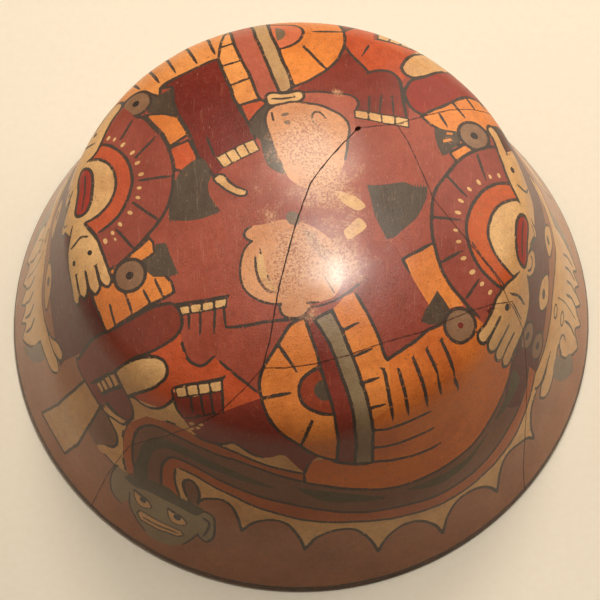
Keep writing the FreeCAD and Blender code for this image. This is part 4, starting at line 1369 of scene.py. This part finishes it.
SLIPS = {
    "line": daylight(52, 38, 30),
    "brick": daylight(169, 80, 58),
    "umber": daylight(174, 111, 71),
    "cream": daylight(236, 186, 124),
    "sand": daylight(216, 166, 108),
    "rust": daylight(190, 102, 46),
    "orange": daylight(238, 142, 64),
    "amber": daylight(228, 124, 48),
    "apricot": daylight(243, 160, 86),
    "flame": daylight(204, 88, 44),
    "maroon": daylight(138, 52, 36),
    "claret": daylight(124, 40, 28),
    # The back leg's maroon slip, painted lighter and redder for the sheen and light that fall on the back:
    # painted sheen
    "crimson_with_painted_sheen": daylight(160, 47, 27),
    "plum": daylight(136, 55, 35),
    "wine": daylight(96, 27, 12),
    # A maroon painted lighter, partly the slip's own colour and partly painted light from the lamps and the
    # crown's highlight
    "garnet_with_painted_light": daylight(158, 72, 54),
    "olive": daylight(84, 70, 36),
    "slate": daylight(156, 136, 100),
    "rose": daylight(188, 98, 74),
    "salmon": daylight(220, 118, 78),
    "tan": daylight(196, 154, 106),
    "grey": daylight(150, 126, 94),
    "taupe": daylight(150, 112, 82),
    "soot": daylight(88, 72, 56),
    "smoke": daylight(126, 104, 80),
    "scarlet": daylight(172, 46, 28),
    "buff": daylight(230, 162, 112),
    "ember": daylight(156, 64, 34),
    "copper": daylight(208, 94, 36),
    "bark": daylight(131, 85, 56),
}


class Nodes:
    """Short ways to add nodes to a material."""

    def __init__(self, name):
        self.material = bpy.data.materials.new(name)
        self.material.use_nodes = True
        self.tree = self.material.node_tree
        self.shader = self.tree.nodes["Principled BSDF"]
        where = self.add("ShaderNodeTexCoord")
        scale = self.add("ShaderNodeMapping")
        scale.inputs["Scale"].default_value = (1000, 1000, 1000)
        self.join(where.outputs["Object"], scale.inputs["Vector"])
        self.place = scale.outputs["Vector"]

    def add(self, kind):
        return self.tree.nodes.new(kind)

    def join(self, source, socket):
        if hasattr(source, "is_output") or hasattr(source, "links"):
            self.tree.links.new(source, socket)
        else:
            socket.default_value = source

    def noise(self, scale, detail=3.0, roughness=0.5, stretch=None, seed=0.0):
        place = self.place
        if stretch or seed:
            mapping = self.add("ShaderNodeMapping")
            mapping.inputs["Scale"].default_value = stretch or (1, 1, 1)
            mapping.inputs["Location"].default_value = (seed, seed * 0.7, seed * 1.3)
            self.join(place, mapping.inputs["Vector"])
            place = mapping.outputs["Vector"]
        texture = self.add("ShaderNodeTexNoise")
        texture.inputs["Scale"].default_value = scale
        texture.inputs["Detail"].default_value = detail
        texture.inputs["Roughness"].default_value = roughness
        self.join(place, texture.inputs["Vector"])
        return texture.outputs["Fac"]

    def math(self, operation, first, second=0.0, third=0.0):
        node = self.add("ShaderNodeMath")
        node.operation = operation
        for socket, value in zip(node.inputs, (first, second, third)):
            self.join(value, socket)
        return node.outputs["Value"]

    def ramp(self, value, low, high, floor=0.0, ceiling=1.0):
        node = self.add("ShaderNodeMapRange")
        node.interpolation_type = "SMOOTHSTEP"
        for socket, part in zip(("Value", "From Min", "From Max", "To Min", "To Max"), (value, low, high,
                floor, ceiling)):
            self.join(part, node.inputs[socket])
        return node.outputs["Result"]

    def blend(self, share, first, second, mode="MIX"):
        node = self.add("ShaderNodeMix")
        node.data_type = "RGBA"
        node.blend_type = mode
        for socket, value in zip((node.inputs[0], node.inputs[6], node.inputs[7]), (share, first, second)):
            if isinstance(value, tuple):
                value = tuple(value[:3]) + (1.0,)
            self.join(value, socket)
        return node.outputs[2]

    def attribute(self, name, output="Color"):
        node = self.add("ShaderNodeAttribute")
        node.attribute_name = name
        return node.outputs[output]

    def bump(self, height, distance, strength=1.0, under=None):
        node = self.add("ShaderNodeBump")
        node.inputs["Strength"].default_value = strength
        node.inputs["Distance"].default_value = distance * MM
        self.join(height, node.inputs["Height"])
        if under:
            self.join(under, node.inputs["Normal"])
        return node.outputs["Normal"]

    def finish(self, colour, roughness, normal):
        self.join(colour, self.shader.inputs["Base Color"])
        self.join(roughness, self.shader.inputs["Roughness"])
        self.join(normal, self.shader.inputs["Normal"])
        return self.material


def painted(name, crack=False):
    """Burnished slips with the painter's dark lines over them, speckled, scratched and worn."""
    n = Nodes(name)
    n.shader.inputs["Specular IOR Level"].default_value = 0.3
    n.shader.inputs["Coat Weight"].default_value = 0.45
    n.shader.inputs["Coat Roughness"].default_value = 0.2
    slip = n.attribute("slip")
    broad, fine, grain = n.noise(0.045, 4, 0.6), n.noise(0.35, 4, 0.6, seed=31), n.noise(1.9, 3, 0.6,
            seed=7)
    streaks = n.noise(0.5, 3, 0.6, (1.0, 0.22, 1.0), 53)
    scratches = n.ramp(n.noise(1.6, 2, 0.5, (1.0, 0.07, 0.3), 71), 0.62, 0.7)
    colour = n.blend(n.ramp(broad, 0.35, 0.7), slip, n.blend(1.0, slip, (0.8, 0.7, 0.64), "MULTIPLY"))
    colour = n.blend(1.0, colour, n.blend(fine, (0.78, 0.74, 0.7), (1.2, 1.22, 1.24)), "MULTIPLY")
    colour = n.blend(1.0, colour, n.blend(streaks, (0.88, 0.88, 0.88), (1.1, 1.1, 1.1)), "MULTIPLY")
    colour = n.blend(1.0, colour, n.blend(grain, (0.7, 0.68, 0.66), (1.28, 1.3, 1.32)), "MULTIPLY")
    colour = n.blend(n.math("MULTIPLY", scratches, 0.1), colour, daylight(214, 156, 112))
    pits = n.ramp(n.noise(1.2, 4, 0.7, seed=17), 0.6, 0.67)
    colour = n.blend(n.math("MULTIPLY", pits, 0.6), colour, daylight(74, 40, 28))
    chips = n.ramp(n.noise(0.55, 7, 0.75, seed=23), 0.665, 0.69)
    colour = n.blend(n.math("MULTIPLY", chips, 0.5), colour, daylight(222, 166, 120))
    flecks = n.ramp(n.noise(1.1, 3, 0.6, (1.0, 0.35, 1.0), 29), 0.66, 0.72)
    colour = n.blend(n.math("MULTIPLY", flecks, 0.3), colour, daylight(214, 150, 106))
    ragged = n.math("SUBTRACT", n.noise(1.5, 4, 0.65, seed=3), 0.5)
    edge = n.math("ADD", n.attribute("ink", "Fac"), n.math("MULTIPLY", ragged, 0.7))
    dark = n.ramp(edge, -0.12, 0.14)
    rubbed = n.ramp(n.noise(0.6, 6, 0.72, seed=77), 0.56, 0.68)
    dark = n.math("MULTIPLY", dark, n.math("SUBTRACT", 1.0, n.math("MULTIPLY", rubbed, 0.7)))
    colour = n.blend(dark, colour, n.blend(grain, daylight(48, 36, 28), daylight(82, 64, 50)))
    speckled = n.ramp(n.noise(1.15, 4, 0.8, seed=41), 0.43, 0.53)
    bare_clay = n.blend(speckled, daylight(158, 82, 50), daylight(226, 172, 128))
    patches = n.math("ADD", n.noise(0.25, 4, 0.6, seed=61), n.noise(1.3, 5, 0.8, seed=67))
    patches = n.math("MULTIPLY", n.math("SUBTRACT", patches, 1.0), 1.3)
    worn = n.ramp(n.math("ADD", n.attribute("worn", "Fac"), patches), 0.2, 0.75)
    worn = n.math("MULTIPLY", worn, n.ramp(n.attribute("worn", "Fac"), 0.0, 0.2))
    colour = n.blend(n.math("MULTIPLY", worn, 0.78), colour, bare_clay)
    if crack:
        hairline = n.ramp(n.noise(0.5, 4, 0.6, seed=83), 0.35, 0.6, 0.45, 0.95)
        colour = n.blend(hairline, colour, daylight(66, 30, 20))
    rough = n.math("ADD", n.ramp(fine, 0.3, 0.7, 0.28, 0.4), n.math("MULTIPLY", dark, 0.1))
    rough = n.math("ADD", rough, n.math("MULTIPLY", worn, 0.04))
    height = n.add("ShaderNodeSeparateXYZ")
    n.join(n.place, height.inputs["Vector"])
    matt = n.math("MULTIPLY", n.ramp(height.outputs["Z"], 26, 46), n.ramp(height.outputs["Z"], 98, 88))
    rough = n.math("ADD", rough, n.math("MULTIPLY", matt, 0.38))
    normal = n.bump(n.noise(0.12, 3, 0.5, seed=5), 0.3, 0.6)
    normal = n.bump(n.noise(0.5, 2, 0.5, (0.3, 1.0, 1.0), 15), 0.06, 0.6, normal)
    normal = n.bump(grain, 0.14, 0.8, normal)
    normal = n.bump(n.math("SUBTRACT", 1.0, n.math("MAXIMUM", pits, scratches)), 0.04, 0.7, normal)
    return n.finish(colour, rough, normal)


def bare(name, dark, light, grain_depth=0.12):
    """Unpainted clay, or what stands in for it, with a coarse grain."""
    n = Nodes(name)
    fine, grain = n.noise(0.3, 5, 0.65), n.noise(1.5, 5, 0.7, seed=9)
    colour = n.blend(n.ramp(fine, 0.35, 0.65), dark, light)
    colour = n.blend(1.0, colour, n.blend(grain, (0.75, 0.75, 0.75), (1.2, 1.2, 1.2)), "MULTIPLY")
    return n.finish(colour, n.ramp(fine, 0.3, 0.7, 0.6, 0.85), n.bump(grain, grain_depth, 0.8))


def make_pieces():
    """All sherds and joints."""
    draw_everything()
    chart, triangles, middle, slip, gap = chart_mesh()
    covered = np.zeros(len(chart), int)
    for index, (_, outline) in enumerate(AREAS):
        within = inside(chart, outline)
        for shift in ((COVER, 0), (-COVER, 0), (0, COVER), (0, -COVER)):
            within[within] = inside(chart[within] + shift, outline)
        covered[within] = index + 1
    lines = ink(chart, covered)
    rubbed = wear(chart)
    slips = painted("painted_slip")
    mended = painted("mended_slip", crack=True)
    inner = bare("inside_clay", daylight(120, 62, 44), daylight(150, 84, 60), 0.05)
    broken = bare("broken_clay", daylight(120, 70, 50), daylight(160, 104, 76))
    lip = bare("lip_paint", daylight(78, 54, 42), daylight(122, 84, 62), 0.05)
    glue = bare("aged_adhesive", daylight(40, 24, 18), daylight(74, 44, 32))
    faint = bare("tinted_adhesive", daylight(66, 36, 26), daylight(128, 66, 46))
    for name, members in pieces(triangles, middle, gap).items():
        piece = slab(name, chart, triangles[members], slip[members], lines, rubbed)
        is_seam = name in SEAM_SHARES
        kinds = [slips, inner, broken, lip]
        if is_seam:
            kinds = [glue] * 4 if name in OPEN_SEAMS else [mended, faint, faint, lip]
        for material in kinds:
            piece.data.materials.append(material)
        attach(piece, "root")
        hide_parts(name)


make_pieces()

# The camera looks down on the bowl from the front
CAMERA_UP = 66.444
CAMERA_ROLL = -2.131
CAMERA_FAR = 1016.4
CAMERA_LENS = 158.51
AIM = (-0.14, 6.74, 0.0)
VIEW_END = 10       # metres
FLOOR_HALF = 3.0     # metres


def add_camera():
    back = Vector((0, -cos(CAMERA_UP), sin(CAMERA_UP)))
    right, up = Vector((1, 0, 0)), Vector((0, sin(CAMERA_UP), cos(CAMERA_UP)))
    turned_right = cos(CAMERA_ROLL) * right + sin(CAMERA_ROLL) * up
    turned_up = -sin(CAMERA_ROLL) * right + cos(CAMERA_ROLL) * up
    camera = bpy.data.objects.new("camera", bpy.data.cameras.new("camera"))
    camera.data.lens = CAMERA_LENS
    camera.data.clip_end = VIEW_END
    place = (Vector(AIM) + back * CAMERA_FAR) * MM
    camera.matrix_world = Matrix(((turned_right.x, turned_up.x, back.x, place.x), (turned_right.y,
            turned_up.y, back.y, place.y), (turned_right.z, turned_up.z, back.z, place.z), (0, 0, 0, 1)))
    bpy.context.scene.collection.objects.link(camera)
    bpy.context.scene.camera = camera


def add_floor():
    mesh = bpy.data.meshes.new("floor")
    mesh.from_pydata([(x * FLOOR_HALF, y * FLOOR_HALF, 0) for x, y in ((-1, -1), (1, -1), (1, 1), (-1, 1))],
            [], [(0, 1, 2, 3)])
    floor = bpy.data.objects.new("floor", mesh)
    bpy.context.scene.collection.objects.link(floor)
    n = Nodes("paper_floor")
    n.shader.inputs["Roughness"].default_value = 0.9
    seen = n.add("ShaderNodeLightPath")
    share = n.math("ADD", seen.outputs["Is Camera Ray"], n.math("ADD", seen.outputs["Is Glossy Ray"],
            seen.outputs["Is Transmission Ray"]))
    weave = n.blend(n.noise(0.35, 3, 0.6), daylight(246, 234, 214), daylight(252, 243, 226))
    n.join(n.blend(n.math("MINIMUM", share, 1.0), daylight(152, 118, 80), weave),
            n.shader.inputs["Base Color"])
    mesh.materials.append(n.material)


def add_lamp(name, direction, distance, size, power, colour):
    lamp = bpy.data.lights.new(name, "AREA")
    lamp.shape = "DISK"
    lamp.size = size
    lamp.energy = power
    lamp.color = colour
    found = bpy.data.objects.new(name, lamp)
    towards = Vector(direction).normalized()
    found.location = towards * distance
    found.rotation_mode = "QUATERNION"
    found.rotation_quaternion = towards.to_track_quat("Z", "Y")
    bpy.context.scene.collection.objects.link(found)


def add_light():
    world = bpy.data.worlds.new("world")
    bpy.context.scene.world = world
    world.use_nodes = True
    world.node_tree.nodes["Background"].inputs["Color"].default_value = (1.0, 0.86, 0.7, 1)
    world.node_tree.nodes["Background"].inputs["Strength"].default_value = 0.1
    add_lamp("key", (0.145, 0.115, 0.983), 1.4, 0.12, 4.9, (1.0, 0.96, 0.88))
    add_lamp("streak", (0.11, 0.25, 0.96), 1.4, 0.3, 2.6, (1.0, 0.96, 0.88))
    add_lamp("back", (0.06, 0.52, 0.85), 1.1, 0.3, 3.6, (1.0, 0.9, 0.76))
    add_lamp("left", (-0.8, 0.3, 0.52), 1.6, 2.2, 7.0, (1.0, 0.88, 0.73))
    add_lamp("right", (0.72, 0.58, 0.4), 1.6, 1.8, 12.0, (1.0, 0.9, 0.77))


add_camera()
add_floor()
add_light()
bpy.context.scene.view_settings.view_transform = "Standard"
